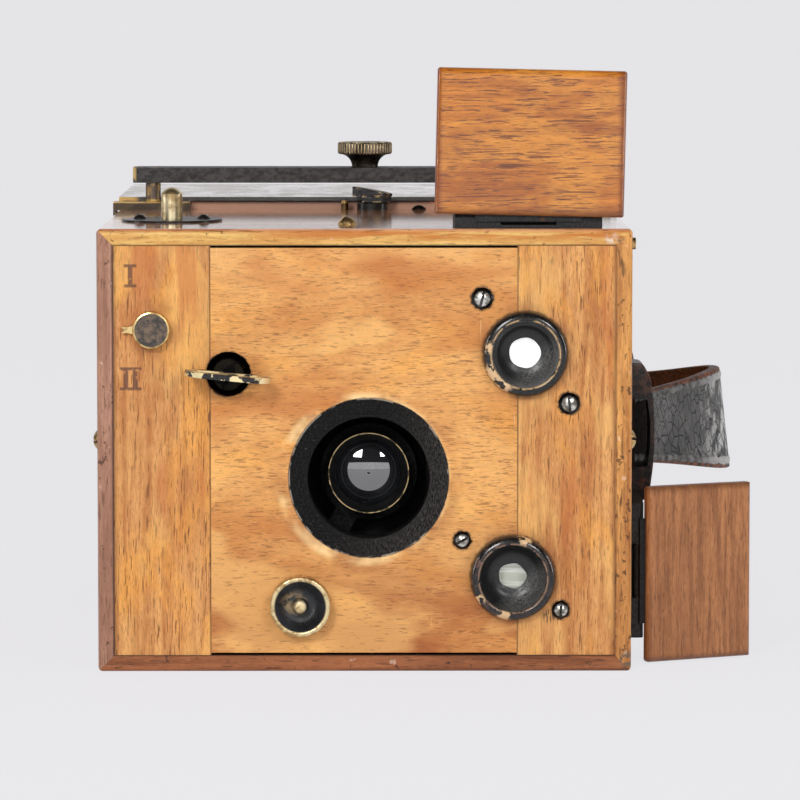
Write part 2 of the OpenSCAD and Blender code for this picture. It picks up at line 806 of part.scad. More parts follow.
module top_wall() {
  color("peru") difference() {
    intersection() {
      case_outside();
      prism_y(front_y, back_y)
        polygon([[-case_w / 2, case_h], [-in_x, in_z1], [in_x, in_z1], [case_w / 2, case_h]]);
    }
    wood_screw_bores();
    front_brass_screw_bore();
    place_top() window_cut();
    block([lens_x - mouth_half_w, mouth_y0, in_z1 - cut],
      [lens_x + mouth_half_w, mouth_y1, case_h + cut]);
    translate([button_x, button_y, in_z1 - cut])
      cylinder(r = rod_r + run_fit, h = wall_t + 2 * cut);
    translate([button_x, button_y, case_h - button_travel - pass_gap])
      cylinder(r = button_r + run_fit, h = button_travel + cut);
    translate([turn_x, turn_y, case_h - pin_depth])
      cylinder(r = turn_pivot_r + run_fit, h = pin_depth + cut);
    stop_pin(seat_fit);
  }
}

module bottom_wall() {
  color("saddlebrown") difference() {
    intersection() {
      case_outside();
      prism_y(front_y, back_y)
        polygon([[-case_w / 2, 0], [-in_x, in_z0], [in_x, in_z0], [case_w / 2, 0]]);
    }
    translate([0, 0, -cut]) cylinder(r = bush_flange_r + seat_fit, h = bush_flange_t + cut);
    translate([0, 0, -cut]) cylinder(r = bush_body_r + seat_fit, h = bush_l + 2 * cut);
  }
}

// Everything that is bored through the three front boards
module front_bores() {
  y0 = face_y - cut;
  y1 = board_back_y + cut;
  rod_y(lens_x, lens_z, y0, y1, lens_ring_r + seat_fit);
  rod_y(arbor_x, arbor_z, y0, y1, key_hole_r);
  rod_y(selector_x, selector_z, y0, y1, selector_spindle_r + run_fit);
  rod_y(knob_x, knob_z, y0, y1, focus_screw_r + run_fit);
  rod_y(upper_finder_x, upper_finder_z, y0, y1, bezel_shank_r + seat_fit);
  rod_y(lower_finder_x, lower_finder_z, y0, y1, bezel_shank_r + seat_fit);
  wood_screw_bores();
}

module left_stile() {
  color("goldenrod") difference() {
    block([-in_x, face_y, in_z0], [left_joint_x, board_back_y, in_z1]);
    front_bores();
  }
}

module front_board() {
  color("orange") difference() {
    block([left_joint_x, face_y, in_z0 + board_gap], [right_joint_x, board_back_y, in_z1 - board_gap]);
    front_bores();
  }
}

module right_stile() {
  color("goldenrod") difference() {
    block([right_joint_x, face_y, in_z0], [in_x, board_back_y, in_z1]);
    front_bores();
  }
}

module back_panel() {
  color("peru") difference() {
    block([-in_x, back_in_y, in_z0], [in_x, back_face_y, in_z1]);
    wood_screw_bores();
  }
}

module lens_ring() {
  color("dimgray") tube_y(lens_x, lens_z, face_y, face_y + lens_ring_l, lens_ring_r, lens_mouth_r);
}

// Turned bezel: rounded outside, worn lip and a funnel down to the hole
module bezel() {
  lip_out = bezel_r - bezel_round;
  lip_in = lip_out - bezel_lip;
  foot_h = bezel_h / 6;
  steps = 6;
  funnel_d = bezel_h + funnel_end;
  // Share of the funnel's depth at a share of its width: steep at the lip, flat at the hole
  function fall(u) = sin(90 * u) * (0.55 + 0.45 * u);
  rotate_extrude($fn = 96) polygon(concat(
    [[bezel_shank_r, -panel_t], [bezel_shank_r, 0]],
    [for (i = [0:steps]) [lip_out + (bezel_r - lip_out) * cos(90 * i / steps),
      foot_h + (bezel_h - foot_h) * sin(90 * i / steps)]],
    [for (i = [0:steps]) [lip_in + (bezel_hole_r - lip_in) * i / steps,
      bezel_h - funnel_d * fall(i / steps)]],
    [[bezel_hole_r, -panel_t]]));
}

module upper_finder_bezel() {
  color("black") translate([upper_finder_x, face_y, upper_finder_z]) look("front") bezel();
}

module lower_finder_bezel() {
  color("black") translate([lower_finder_x, face_y, lower_finder_z]) look("front") bezel();
}

// Finder pieces are drawn about the middle of their screen: X along the hinge, Z out of the wall
module place_top() {
  translate([screen_x, top_screen_y, case_h]) children();
}

module place_side() {
  translate([case_w / 2, side_screen_y, lower_finder_z]) rotate([0, 90, 0]) children();
}

module window_cut() {
  block([-window_w / 2, -window_w / 2, -wall_t - cut], [window_w / 2, window_w / 2, cut]);
}

// A lens with two curved faces about the middle, its axis along Z
module biconvex(r, t, curve_r) {
  intersection() {
    translate([0, 0, t / 2 - curve_r]) sphere(r = curve_r, $fn = 96);
    translate([0, 0, curve_r - t / 2]) sphere(r = curve_r, $fn = 96);
    translate([0, 0, -t]) cylinder(r = r, h = 2 * t);
  }
}

module finder_lenses() {
  color("lightcyan") for (p = [[upper_finder_x, upper_finder_z], [lower_finder_x, lower_finder_z]])
    translate([p[0], board_back_y + finder_lens_t / 2 + seat_fit, p[1]]) look("front")
      biconvex(finder_lens_r, finder_lens_t, finder_curve_r);
}

module finder_box(axis_d, lens_dx, screen_y) {
  y0 = board_back_y - screen_y;
  y1 = finder_box_in / 2 + finder_box_t;
  half = finder_box_in / 2;
  difference() {
    block([-box_half, y0, -axis_d - box_half], [box_half, y1, -wall_t]);
    block([-half, y0 + finder_box_t, -axis_d - half], [half, half, -wall_t + cut]);
    translate([lens_dx, y0 - cut, -axis_d]) rotate([-90, 0, 0])
      cylinder(r = lens_hole_r, h = finder_box_t + 2 * cut);
  }
}

module top_finder_box() {
  color("dimgray") place_top() finder_box(top_axis_d, -top_screen_shift, top_screen_y);
}

module side_finder_box() {
  color("dimgray") place_side() finder_box(side_axis_d, 0, side_screen_y);
}

module finder_mirror(axis_d) {
  mirror_l = (finder_box_in - mirror_t * sqrt(2) / 2 - 2 * pass_gap) * sqrt(2) - mirror_t;
  translate([0, 0, -axis_d]) rotate([45, 0, 0])
    block([-finder_box_in / 2 + pass_gap, -mirror_l / 2, -mirror_t],
      [finder_box_in / 2 - pass_gap, mirror_l / 2, 0]);
}

module finder_mirrors() {
  color("silver") {
    place_top() finder_mirror(top_axis_d);
    place_side() finder_mirror(side_axis_d);
  }
}

module ground_glasses() {
  color("azure") {
    place_top() block([-screen_w / 2, -screen_w / 2, 0], [screen_w / 2, screen_w / 2, screen_t]);
    place_side() block([-screen_w / 2, -screen_w / 2, 0], [screen_w / 2, screen_w / 2, screen_t]);
  }
}

// Frame on the case: window, rebate for the ground glass, hinge bore and knuckle notch
module finder_base(l) {
  notch_half = knuckle_l / 2 + pass_gap;
  difference() {
    block([-l / 2, -base_d / 2, 0], [l / 2, base_d / 2, base_h]);
    block([-window_w / 2, -window_w / 2, -cut], [window_w / 2, window_w / 2, base_h + cut]);
    block([-rebate_w / 2, -rebate_w / 2, -cut], [rebate_w / 2, rebate_w / 2, screen_t + seat_fit]);
    difference() {
      block([-l / 2 - cut, -base_d / 2 - cut, hinge_w], [l / 2 + cut, hinge_y, base_h + cut]);
      translate([-l / 2 - 2 * cut, hinge_y, hinge_w]) rotate([0, 90, 0])
        cylinder(r = knuckle_r, h = l + 4 * cut);
    }
    block([-notch_half, -base_d / 2 - cut, hinge_w - knuckle_r - pass_gap],
      [notch_half, hinge_y + knuckle_r + pass_gap, base_h + cut]);
    translate([-l / 2 + cut, hinge_y, hinge_w]) rotate([0, 90, 0])
      cylinder(r = hinge_pin_r + seat_fit / 2, h = l);
  }
}

module top_finder_base() {
  color("black") place_top() finder_base(top_base_l);
}

module side_finder_base() {
  color("black") place_side() finder_base(side_base_l);
}

module hinge_pin(l) {
  translate([-l / 2 + cut, hinge_y, hinge_w]) rotate([0, 90, 0])
    cylinder(r = hinge_pin_r, h = l - 2 * cut);
}

// The pins of both hinges and the studs of the click pawl and the release latch
module steel_pins() {
  color("gray") {
    place_top() hinge_pin(top_base_l);
    place_side() hinge_pin(side_base_l);
    pawl_stud(0);
    latch_stud(0);
  }
}

// Swings a closed lid open about its hinge pin
module swing(angle) {
  translate([0, hinge_y, hinge_w]) rotate([angle, 0, 0]) translate([0, -hinge_y, -hinge_w]) children();
}

// Hinge leaf, drawn closed: plate in the lid, web and middle knuckle round the pin
module lid_leaf() {
  difference() {
    union() {
      block([-leaf_half_l, hinge_y - leaf_t, lid_w0],
        [leaf_half_l, lid_y0 + hinge_leaf_d, lid_w0 + hinge_leaf_t]);
      block([-knuckle_l / 2, hinge_y - leaf_t, hinge_w],
        [knuckle_l / 2, hinge_y + leaf_t, lid_w0 + hinge_leaf_t / 2]);
      translate([-knuckle_l / 2, hinge_y, hinge_w]) rotate([0, 90, 0])
        cylinder(r = knuckle_r, h = knuckle_l);
    }
    translate([-knuckle_l, hinge_y, hinge_w]) rotate([0, 90, 0])
      cylinder(r = hinge_pin_r + run_fit, h = 2 * knuckle_l);
  }
}

// Lid, drawn closed: a slab with rounded outer edges, rebated for its hinge leaf
module lid(l, d, t, skew, drop) {
  difference() {
    translate([drop, hinge_y, 0]) rotate([0, 0, -skew]) translate([0, -hinge_y, lid_w0]) intersection() {
      translate([0, lid_y0 + d, 0]) rotate([90, 0, 0]) linear_extrude(d) lid_section(l, t);
      translate([-l / 2, 0, 0]) rotate([90, 0, 90]) linear_extrude(l)
        translate([lid_y0 + d / 2, 0]) lid_section(d, t);
      translate([0, lid_y0 + d / 2, 0]) linear_extrude(t) round_rect(l, d, lid_corner_r);
    }
    block([-leaf_half_l - seat_fit, hinge_y - 2 * knuckle_r, lid_w0 - cut],
      [leaf_half_l + seat_fit, lid_y0 + hinge_leaf_d + seat_fit, lid_w0 + hinge_leaf_t + seat_fit]);
  }
}

// Half-rounded section of a lid, w wide and t thick, standing on the X axis
module lid_section(w, t) {
  r = lid_edge_r;
  translate([-w / 2, 0]) square([w, t - r]);
  translate([-w / 2 + r, 0]) square([w - 2 * r, t]);
  for (side = [-1, 1])
    translate([side * (w / 2 - r), t - r]) circle(r = r);
}

module top_finder_lid() {
  color("chocolate") place_top() swing(top_lid_open)
    lid(top_lid_l, top_lid_d, top_lid_t, top_lid_skew, 0);
}

module top_lid_leaf() {
  color("darkgoldenrod") place_top() swing(top_lid_open) lid_leaf();
}

module side_finder_lid() {
  color("sienna") place_side() swing(side_lid_open)
    lid(side_lid_l, side_lid_d, side_lid_t, 0, side_lid_drop);
}

module side_lid_leaf() {
  color("darkgoldenrod") place_side() swing(side_lid_open) lid_leaf();
}

module wood_screws() {
  color("gray") for (s = wood_screw_list)
    translate(s[0]) look(s[1])
      screw(s[3], screw_head_h, screw_shank_r, s[4], s[2]);
}

// Angles of the slots in the side screws and in the round-head screw near the front edge
side_slot_a = 80;
top_slot_a = 55;
front_brass_y = front_y + front_brass_set;

module front_brass_screw_bore() {
  translate([-front_brass_dx, front_brass_y, case_h - screw_shank_l - seat_fit])
    cylinder(r = screw_shank_r + seat_fit, h = screw_shank_l + cut);
}

// Stop pin beside the turn button
stop_pin_x = turn_x - turn_l / 2 - 2 * stop_pin_r;

module stop_pin(extra) {
  translate([stop_pin_x, turn_y, case_h - pin_depth])
    cylinder(r = stop_pin_r + extra, h = pin_depth + stop_pin_h);
}

module brass_screws() {
  color("goldenrod") {
    for (side = [-1, 1])
      translate([side * case_w / 2, side_screw_y, handle_z]) look(side < 0 ? "left" : "right")
        screw(side_screw_head_r, side_screw_head_h, side_screw_shank_r, side_screw_shank_l, side_slot_a);
    translate([-front_brass_dx, front_brass_y, case_h])
      screw(front_brass_r, front_brass_h, screw_shank_r, screw_shank_l, top_slot_a);
    stop_pin(0);
    stud(0);
    translate([case_w / 2, stud_y, stud_z]) rotate([0, 90, 0])
      cylinder(r = stud_r, h = stud_h);
  }
}

// Lens board, cut away round the two finder boxes
module lens_board() {
  clear = pass_gap;
  top_cut_x = screen_x - box_half - clear;
  top_cut_z = upper_finder_z - box_half - clear;
  side_cut_x = lower_finder_x - box_half - clear;
  side_cut_z = lower_finder_z + box_half + clear;
  color("burlywood") difference() {
    prism_y(lens_board_y, lens_board_back_y)
      polygon([[-in_x, in_z0], [side_cut_x, in_z0], [side_cut_x, side_cut_z], [in_x, side_cut_z],
        [in_x, top_cut_z], [top_cut_x, top_cut_z], [top_cut_x, in_z1], [-in_x, in_z1]]);
    rod_y(lens_x, lens_z, lens_board_y - cut, lens_board_back_y + cut, sleeve_out_r + seat_fit);
    rod_y(arbor_x, arbor_z, lens_board_y - cut, lens_board_back_y + cut, arbor_r + run_fit);
    rod_y(knob_x, knob_z, lens_board_y - cut, lens_board_y + lens_board_t / 2,
      focus_screw_r + run_fit);
    for (p = pillar_list)
      rod_y(p[0], p[1], lens_board_back_y - pin_depth, lens_board_back_y + cut, pillar_r / 2 + seat_fit);
    latch_stud(seat_fit);
    pawl_stud(seat_fit);
    side_screw_bores();
  }
}

module lens_sleeve() {
  color("darkgoldenrod") difference() {
    union() {
      rod_y(lens_x, lens_z, sleeve_y, sleeve_y + sleeve_l, sleeve_out_r);
      rod_y(lens_x, lens_z, lens_board_y - flange_t, lens_board_y, flange_r);
    }
    rod_y(lens_x, lens_z, sleeve_y - cut, sleeve_y + sleeve_l + cut, sleeve_r);
  }
}

// Middles of the four pillars between the lens board and the shutter's back plate
pillar_list = [[arbor_x - left_pillar_dx, arbor_z + left_pillar_dz],
  [lens_x + right_pillar_dx, lens_z + right_pillar_up],
  [lens_x + right_pillar_dx, lens_z - right_pillar_down],
  [arbor_x - low_pillar_dx, lens_z - low_pillar_dz]];

module shutter_plate() {
  y1 = plate_front_y + shutter_plate_t;
  color("silver") difference() {
    union() {
      prism_y(plate_front_y, y1)
        polygon([pillar_list[0] + [-plate_edge, plate_edge], pillar_list[1] + [plate_edge, plate_edge],
          pillar_list[2] + [plate_edge, -plate_edge], pillar_list[3] + [-plate_edge, -plate_edge]]);
      for (p = pillar_list) {
        rod_y(p[0], p[1], lens_board_back_y, y1, pillar_r);
        rod_y(p[0], p[1], lens_board_back_y - pin_depth, y1, pillar_r / 2);
      }
    }
    rod_y(lens_x, lens_z, plate_front_y - cut, y1 + cut, blade_r - plate_lap);
    rod_y(arbor_x, arbor_z, plate_front_y - cut, y1 + cut, arbor_r + run_fit);
  }
}

module image_frame() {
  color("burlywood") difference() {
    block([-in_x, image_y, in_z0], [in_x, image_back_y, in_z1]);
    block([lens_x - plate_w / 2 + image_lap, image_y - cut, lens_z - plate_h / 2 + image_lap],
      [lens_x + plate_w / 2 - image_lap, image_back_y + cut, lens_z + plate_h / 2 - image_lap]);
  }
}

// L-shaped side boards between the image frame and the back panel, whose ledges carry the sheaths
module magazine_cheeks() {
  top_z = sheath_z + sheath_h;
  ledge_z = sheath_z - pass_gap;
  color("burlywood") difference() {
    for (side = [-1, 1])
      translate([lens_x, 0, 0]) prism_y(image_back_y, back_in_y)
        polygon([[side * (cheek_x - ledge_w), in_z0], [side * (cheek_x + cheek_t), in_z0],
          [side * (cheek_x + cheek_t), top_z], [side * cheek_x, top_z],
          [side * cheek_x, ledge_z], [side * (cheek_x - ledge_w), ledge_z]]);
    wood_screw_bores();
  }
}

module plate_sheath() {
  half_w = sheath_w / 2;
  difference() {
    block([-half_w, 0, 0], [half_w, sheath_t, sheath_h]);
    block([-half_w + sheath_wall, sheath_wall, sheath_wall],
      [half_w - sheath_wall, sheath_t - sheath_wall, sheath_h - sheath_wall]);
    block([-half_w + sheath_lip, -cut, sheath_lip],
      [half_w - sheath_lip, sheath_wall + cut, sheath_h - sheath_lip]);
  }
}

module plate_sheaths() {
  color("dimgray") for (i = [0:plate_count - 1])
    translate([lens_x, sheath_y + i * sheath_pitch, sheath_z]) plate_sheath();
}

module glass_plates() {
  color("lightgray") for (i = [0:plate_count - 1])
    translate([lens_x, sheath_y + i * sheath_pitch + sheath_wall, lens_z])
      block([-plate_w / 2, 0, -plate_h / 2], [plate_w / 2, plate_t, plate_h / 2]);
}

module pressure_board() {
  color("burlywood") block([lens_x - plate_w / 2, pressure_y, sheath_z],
    [lens_x + plate_w / 2, pressure_back_y, sheath_z + plate_h]);
}

// Two bowed leaf springs between the pressure board and the back panel
module pressure_springs() {
  rise = back_in_y - pressure_back_y - pressure_spring_t - seat_fit;
  half_l = pressure_spring_l / 2;
  steps = 16;
  t = pressure_spring_t;
  curve = [for (i = [0:steps]) [-half_l + 2 * half_l * i / steps, rise * sin(180 * i / steps)]];
  back = [for (i = [steps:-1:0]) curve[i] + [0, t]];
  color("silver") for (side = [-1, 1])
    translate([lens_x + side * plate_w / 4, pressure_back_y, lens_z])
      rotate([0, 90, 0]) linear_extrude(pressure_spring_w, center = true) polygon(concat(curve, back));
}

module magazine_rim() {
  color("saddlebrown") difference() {
    block([-rim_half_w, rim_y0, case_h], [rim_half_w, back_y - edge_r, case_h + rim_h]);
    block([lens_x - mouth_half_w, mouth_y0, case_h - cut],
      [lens_x + mouth_half_w, mouth_y1, case_h + rim_h + cut]);
  }
}

// Shoes that hook over the case's edges, each with its post and neck
module bridge_shoes() {
  color("darkgoldenrod") for (side = [-1, 1]) mirror([side < 0 ? 1 : 0, 0, 0]) {
    block([shoe_x, post_y - shoe_w / 2, case_h],
      [case_w / 2 + hook_t, post_y + shoe_w / 2, case_h + shoe_t]);
    block([case_w / 2 + seat_fit, post_y - shoe_w / 2, case_h - hook_l],
      [case_w / 2 + seat_fit + hook_t, post_y + shoe_w / 2, case_h + shoe_t]);
    translate([post_x, post_y, case_h + shoe_t / 2])
      cylinder(r = post_r, h = post_top_z - case_h - shoe_t / 2);
    translate([post_x, post_y, post_top_z - cut])
      cylinder(r = neck_r, h = bar_z + bar_t - post_top_z + cut);
  }
}

module button_escutcheon() {
  color("dimgray") translate([button_x, button_y, case_h]) difference() {
    cylinder(r = escutcheon_r, h = escutcheon_t, $fn = 96);
    translate([0, 0, -cut]) cylinder(r = button_r + run_fit, h = escutcheon_t + 2 * cut);
    for (side = [-1, 1])
      translate([side * escutcheon_screw_x, 0, -cut])
        cylinder(r = screw_shank_r + seat_fit, h = escutcheon_t + 2 * cut);
  }
}

module turn_base() {
  color("black") translate([turn_x, turn_y, case_h]) difference() {
    cylinder(r = turn_base_r, h = turn_base_h);
    translate([0, 0, -cut]) cylinder(r = turn_pivot_r + run_fit, h = turn_base_h + 2 * cut);
  }
}

// Upper half of a keeper's outline, x out from the wall and z up from the middle
function keeper_half(h, out, foot) = [
  [0, h], [foot, h], [0.87 * out, 0.8 * h], [0.97 * out, 0.46 * h], [out, 0.2 * h]];
function mirrored(points) = [for (i = [len(points) - 1:-1:0]) [points[i][0], -points[i][1]]];

module handle_keepers() {
  h = keeper_h / 2;
  loop_h = h - keeper_band;
  outer = keeper_half(h, keeper_out, keeper_foot_t);
  inner = keeper_half(loop_h, keeper_out - keeper_t, strap_t + pass_gap);
  color("black") difference() {
    for (side = [-1, 1])
      translate([case_w / 2, 0, handle_z])
        prism_y(side * keeper_y - keeper_w / 2, side * keeper_y + keeper_w / 2) difference() {
        union() {
          polygon(concat(outer, mirrored(outer)));
          for (end = [-1, 1])
            translate([0, end > 0 ? h - tongue_t : -h - tongue_l])
              square([tongue_t, tongue_l + tongue_t]);
        }
        translate([-cut, 0]) polygon(concat([[0, loop_h]], [for (p = inner) p + [cut, 0]],
          [for (p = mirrored(inner)) p + [cut, 0]], [[0, -loop_h]]));
      }
    wood_screw_bores();
  }
}

// Strap: a band along a bell curve, as wide in Z as its outline says
function strap_rise(y) = let (reach = keeper_y - keeper_w / 2)
  abs(y) >= reach ? 0 : pow(cos(90 * y / reach), 1.5);
function strap_half(y) = let (
  reach = keeper_y,
  swell = abs(y) >= reach ? 0 : pow(cos(90 * y / reach), 3),
  in_keeper = 4 * (abs(y) - keeper_y) / keeper_w + 2)
  (strap_end_w + (strap_mid_w - strap_end_w) * swell) / 2 + strap_flare * max(0, min(1, in_keeper));

module handle_strap() {
  end_y = keeper_y + strap_tail;
  steps = 36;
  ys = [for (i = [0:steps]) -end_y + 2 * end_y * i / steps];
  lift = strap_out - strap_t - pass_gap;
  inside = [for (y = ys) [case_w / 2 + pass_gap + lift * strap_rise(y), y]];
  outside = [for (i = [steps:-1:0]) inside[i] + [strap_t, 0]];
  upper = [for (y = ys) [y, handle_z + strap_half(y)]];
  lower = [for (i = [steps:-1:0]) [ys[i], handle_z - strap_half(ys[i])]];
  color("dimgray") intersection() {
    translate([0, 0, handle_z - strap_mid_w]) linear_extrude(2 * strap_mid_w)
      polygon(concat(inside, outside));
    prism_x(case_w / 2 - cut, case_w / 2 + 2 * strap_out) polygon(concat(lower, upper));
  }
}

module tripod_bush() {
  color("gold") difference() {
    union() {
      cylinder(r = bush_flange_r, h = bush_flange_t);
      cylinder(r = bush_body_r, h = bush_l);
    }
    translate([0, 0, -cut]) cylinder(r = bush_bore_r, h = bush_l + 2 * cut);
  }
}

// Key: two flat wings seen edge-on from the front, and a pipe over the arbor
module winding_key() {
  half = key_span / 2;
  wing_y = key_y - key_depth / 2;
  pipe_y = key_y - key_root;
  color("darkgoldenrod") translate([arbor_x, 0, arbor_z]) rotate([0, key_turn, 0]) difference() {
    union() {
      translate([0, wing_y, -key_t / 2]) linear_extrude(key_t) difference() {
        union() {
          translate([-half + key_depth / 2, -key_depth / 2]) square([key_span - key_depth, key_depth]);
          for (side = [-1, 1])
            translate([side * (half - key_depth / 2), 0]) circle(r = key_depth / 2);
        }
        for (side = [-1, 1])
          translate([side * (half - key_depth / 2), 0]) circle(r = key_eye_r);
      }
      rod_y(0, 0, pipe_y, pipe_y + key_pipe_l, key_pipe_r);
    }
    rod_y(0, 0, key_y, pipe_y + key_pipe_l + cut, arbor_r + seat_fit);
  }
}

// Arbor with its ratchet wheel in front of the lens board
module winding_arbor() {
  y0 = key_y + pivot_gap;
  root_r = ratchet_r - ratchet_tooth;
  color("silver") {
    rod_y(arbor_x, arbor_z, y0, plate_front_y + shutter_plate_t, arbor_r);
    translate([arbor_x, 0, arbor_z]) prism_y(ratchet_y, ratchet_y + ratchet_t)
      polygon([for (i = [0:ratchet_teeth - 1], k = [0, 1]) let (a = 360 * (i + 0.12 * k) / ratchet_teeth)
        (k == 0 ? root_r : ratchet_r) * [cos(a), sin(a)]]);
  }
}

// Pawl lifted just clear of the ratchet wheel's teeth, on a stud in the lens board
pawl_x = arbor_x + pawl_dx;
pawl_z = arbor_z + pawl_dz;
pawl_d = norm([pawl_dx, pawl_dz]);
pawl_l = pawl_d - ratchet_r + ratchet_tooth;
pawl_clear_r = ratchet_r + 2 * pass_gap;
pawl_lift = acos((pawl_d * pawl_d + pawl_l * pawl_l - pawl_clear_r * pawl_clear_r) / (2 * pawl_d * pawl_l));

module pawl_stud(extra) {
  rod_y(pawl_x, pawl_z, ratchet_y - pass_gap, lens_board_y + pin_depth, pawl_stud_r + extra);
}

module click_pawl() {
  tip_a = atan2(-pawl_dz, -pawl_dx);
  root = pawl_hub_r * 0.85;
  color("silver") difference() {
    translate([pawl_x, 0, pawl_z]) prism_y(ratchet_y, ratchet_y + ratchet_t) rotate(tip_a - pawl_lift) {
      circle(r = pawl_hub_r);
      polygon([[0, root], [0.88 * pawl_l, 0.45 * root], [pawl_l, 0],
        [0.86 * pawl_l, -0.3 * root], [0, -root]]);
    }
    pawl_stud(run_fit);
  }
}

module spring_drum() {
  y1 = drum_y + drum_l;
  color("darkkhaki") difference() {
    rod_y(arbor_x, arbor_z, drum_y, y1, drum_r);
    rod_y(arbor_x, arbor_z, drum_y + drum_wall, y1 + cut, drum_r - drum_wall);
    rod_y(arbor_x, arbor_z, drum_y - cut, y1 + cut, arbor_r + run_fit);
  }
}

// Spiral strip between the arbor and the drum's wall
module mainspring() {
  r0 = arbor_r + seat_fit;
  r1 = drum_r - drum_wall - pass_gap - spring_t;
  per_turn = 20;
  steps = spring_turns * per_turn;
  inner = [for (i = [0:steps]) let (r = r0 + (r1 - r0) * i / steps, a = 360 * i / per_turn)
    r * [cos(a), sin(a)]];
  outer = [for (i = [steps:-1:0]) let (r = r0 + (r1 - r0) * i / steps + spring_t, a = 360 * i / per_turn)
    r * [cos(a), sin(a)]];
  color("steelblue") translate([arbor_x, 0, arbor_z])
    prism_y(drum_y + drum_wall + pass_gap, drum_y + drum_l - pass_gap) polygon(concat(inner, outer));
}

// Blade on the drum: hub, arm and the disc that covers the lens
module shutter_blade() {
  color("dimgray") difference() {
    union() {
      rod_y(arbor_x, arbor_z, blade_y, blade_y + leaf_t, drum_r);
      rod_y(lens_x, lens_z, blade_y, blade_y + leaf_t, blade_r);
      translate([arbor_x, 0, arbor_z]) prism_y(blade_y, blade_y + leaf_t)
        rotate(blade_a) translate([0, -drum_r / 2]) square([blade_reach, drum_r]);
    }
    rod_y(arbor_x, arbor_z, blade_y - cut, blade_y + leaf_t + cut, arbor_r + run_fit);
  }
}

module release_button() {
  dome_r = (button_r * button_r + button_dome * button_dome) / (2 * button_dome);
  color("goldenrod") translate([button_x, button_y, 0]) {
    translate([0, 0, rod_end_z]) cylinder(r = rod_r, h = case_h + button_h / 2 - rod_end_z);
    translate([0, 0, in_z1 - pass_gap - collar_t]) cylinder(r = collar_r, h = collar_t);
    translate([0, 0, case_h]) intersection() {
      cylinder(r = button_r, h = button_h);
      translate([0, 0, button_h - dome_r]) sphere(r = dome_r);
    }
    translate([0, 0, case_h]) cylinder(r = button_r, h = button_h - button_dome);
  }
}

// Stud in the lens board on which the release latch turns
module latch_stud(extra) {
  rod_y(latch_x, latch_z, lens_board_back_y - pin_depth, button_y + latch_t / 2 + pass_gap,
    latch_stud_r + extra);
}

module release_latch() {
  y0 = button_y - latch_t / 2;
  y1 = button_y + latch_t / 2;
  tip = arbor_x - drum_r - latch_x - latch_gap;
  color("silver") difference() {
    translate([latch_x, 0, latch_z]) prism_y(y0, y1) {
      circle(r = latch_h / 2);
      translate([0, -latch_h / 2]) square([tip, latch_h]);
    }
    rod_y(latch_x, latch_z, y0 - cut, y1 + cut, latch_stud_r + run_fit);
  }
}

// Flat spring on a foot behind the lens board, pressing the latch up from below
module latch_spring() {
  y1 = button_y + latch_t / 2;
  foot_x = latch_x - latch_foot_dx;
  foot_w = 4 * latch_spring_t;
  tip_x = button_x;
  tip_z = latch_z - latch_h / 2 - seat_fit;
  foot_z = tip_z - latch_spring_drop;
  t = latch_spring_t;
  color("steelblue") {
    block([foot_x - foot_w, lens_board_back_y, foot_z - 2 * foot_w], [foot_x, y1, foot_z]);
    prism_y(button_y - latch_t / 2, y1)
      polygon([[foot_x - foot_w, foot_z - t], [foot_x, foot_z - t], [tip_x, tip_z - t],
        [tip_x, tip_z], [foot_x, foot_z], [foot_x - foot_w, foot_z]]);
  }
}

// Selector: disc, notched pointer, spindle and the cam behind the board
module selector() {
  y1 = face_y - pivot_gap;
  cam_y = board_back_y + pass_gap;
  tip_w = 0.28 * pointer_w;
  color("darkkhaki") {
    rod_y(selector_x, selector_z, y1 - selector_t, y1, selector_r);
    translate([selector_x, 0, selector_z]) prism_y(y1 - pointer_t, y1)
      polygon([[-selector_r + pointer_w / 2, pointer_w / 2], [-pointer_l, tip_w], [-pointer_l + tip_w, 0],
        [-pointer_l, -tip_w], [-selector_r + pointer_w / 2, -pointer_w / 2]]);
    rod_y(selector_x, selector_z, y1 - pointer_t, cam_y + cam_t, selector_spindle_r);
    translate([selector_x, 0, selector_z]) prism_y(cam_y, cam_y + cam_t) {
      circle(r = cam_w);
      translate([-cam_w / 2, -cam_l]) square([cam_w, cam_l]);
    }
  }
}

// Dished knob and its screw
module focus_knob() {
  y0 = face_y - pivot_gap;
  edge = 0.5;
  tail_y = lens_board_y + lens_board_t / 2 - pass_gap;
  color("goldenrod") {
    translate([knob_x, y0, knob_z]) look("front") rotate_extrude($fn = 96)
      polygon([[0, 0], [knob_r - edge, 0], [knob_r, edge], [knob_r, knob_h - edge],
        [knob_r - edge, knob_h],
        [dish_r, knob_h], [(dish_r + boss_r) / 2, knob_h - dish_d], [boss_r, knob_h - dish_d],
        [boss_r, knob_h - edge], [boss_r - edge, knob_h], [0, knob_h]]);
    rod_y(knob_x, knob_z, y0 - cut, tail_y, focus_screw_r);
  }
}

module lens_barrel() {
  color("goldenrod") difference() {
    union() {
      rod_y(lens_x, lens_z, rim_y, rim_y + barrel_rim_l, barrel_rim_r);
      rod_y(lens_x, lens_z, rim_y, barrel_back_y, barrel_r);
    }
    rod_y(lens_x, lens_z, rim_y - cut, barrel_back_y + cut, barrel_in_r);
    translate([lens_x, rim_y - cut, lens_z]) rotate([-90, 0, 0])
      cylinder(r1 = barrel_r + cut * barrel_wall / front_bevel, r2 = barrel_in_r, h = front_bevel + cut);
  }
}

module lens_elements() {
  color("lightcyan") for (y = [rim_y + front_bevel + element_t / 2, barrel_back_y - cut - element_t / 2])
    translate([lens_x, y, lens_z]) look("front")
      biconvex(barrel_in_r - seat_fit, element_t, element_curve_r);
}

module lens_stop() {
  y = rim_y + barrel_l / 2;
  color("black") tube_y(lens_x, lens_z, y, y + leaf_t, barrel_in_r - seat_fit, stop_r);
}

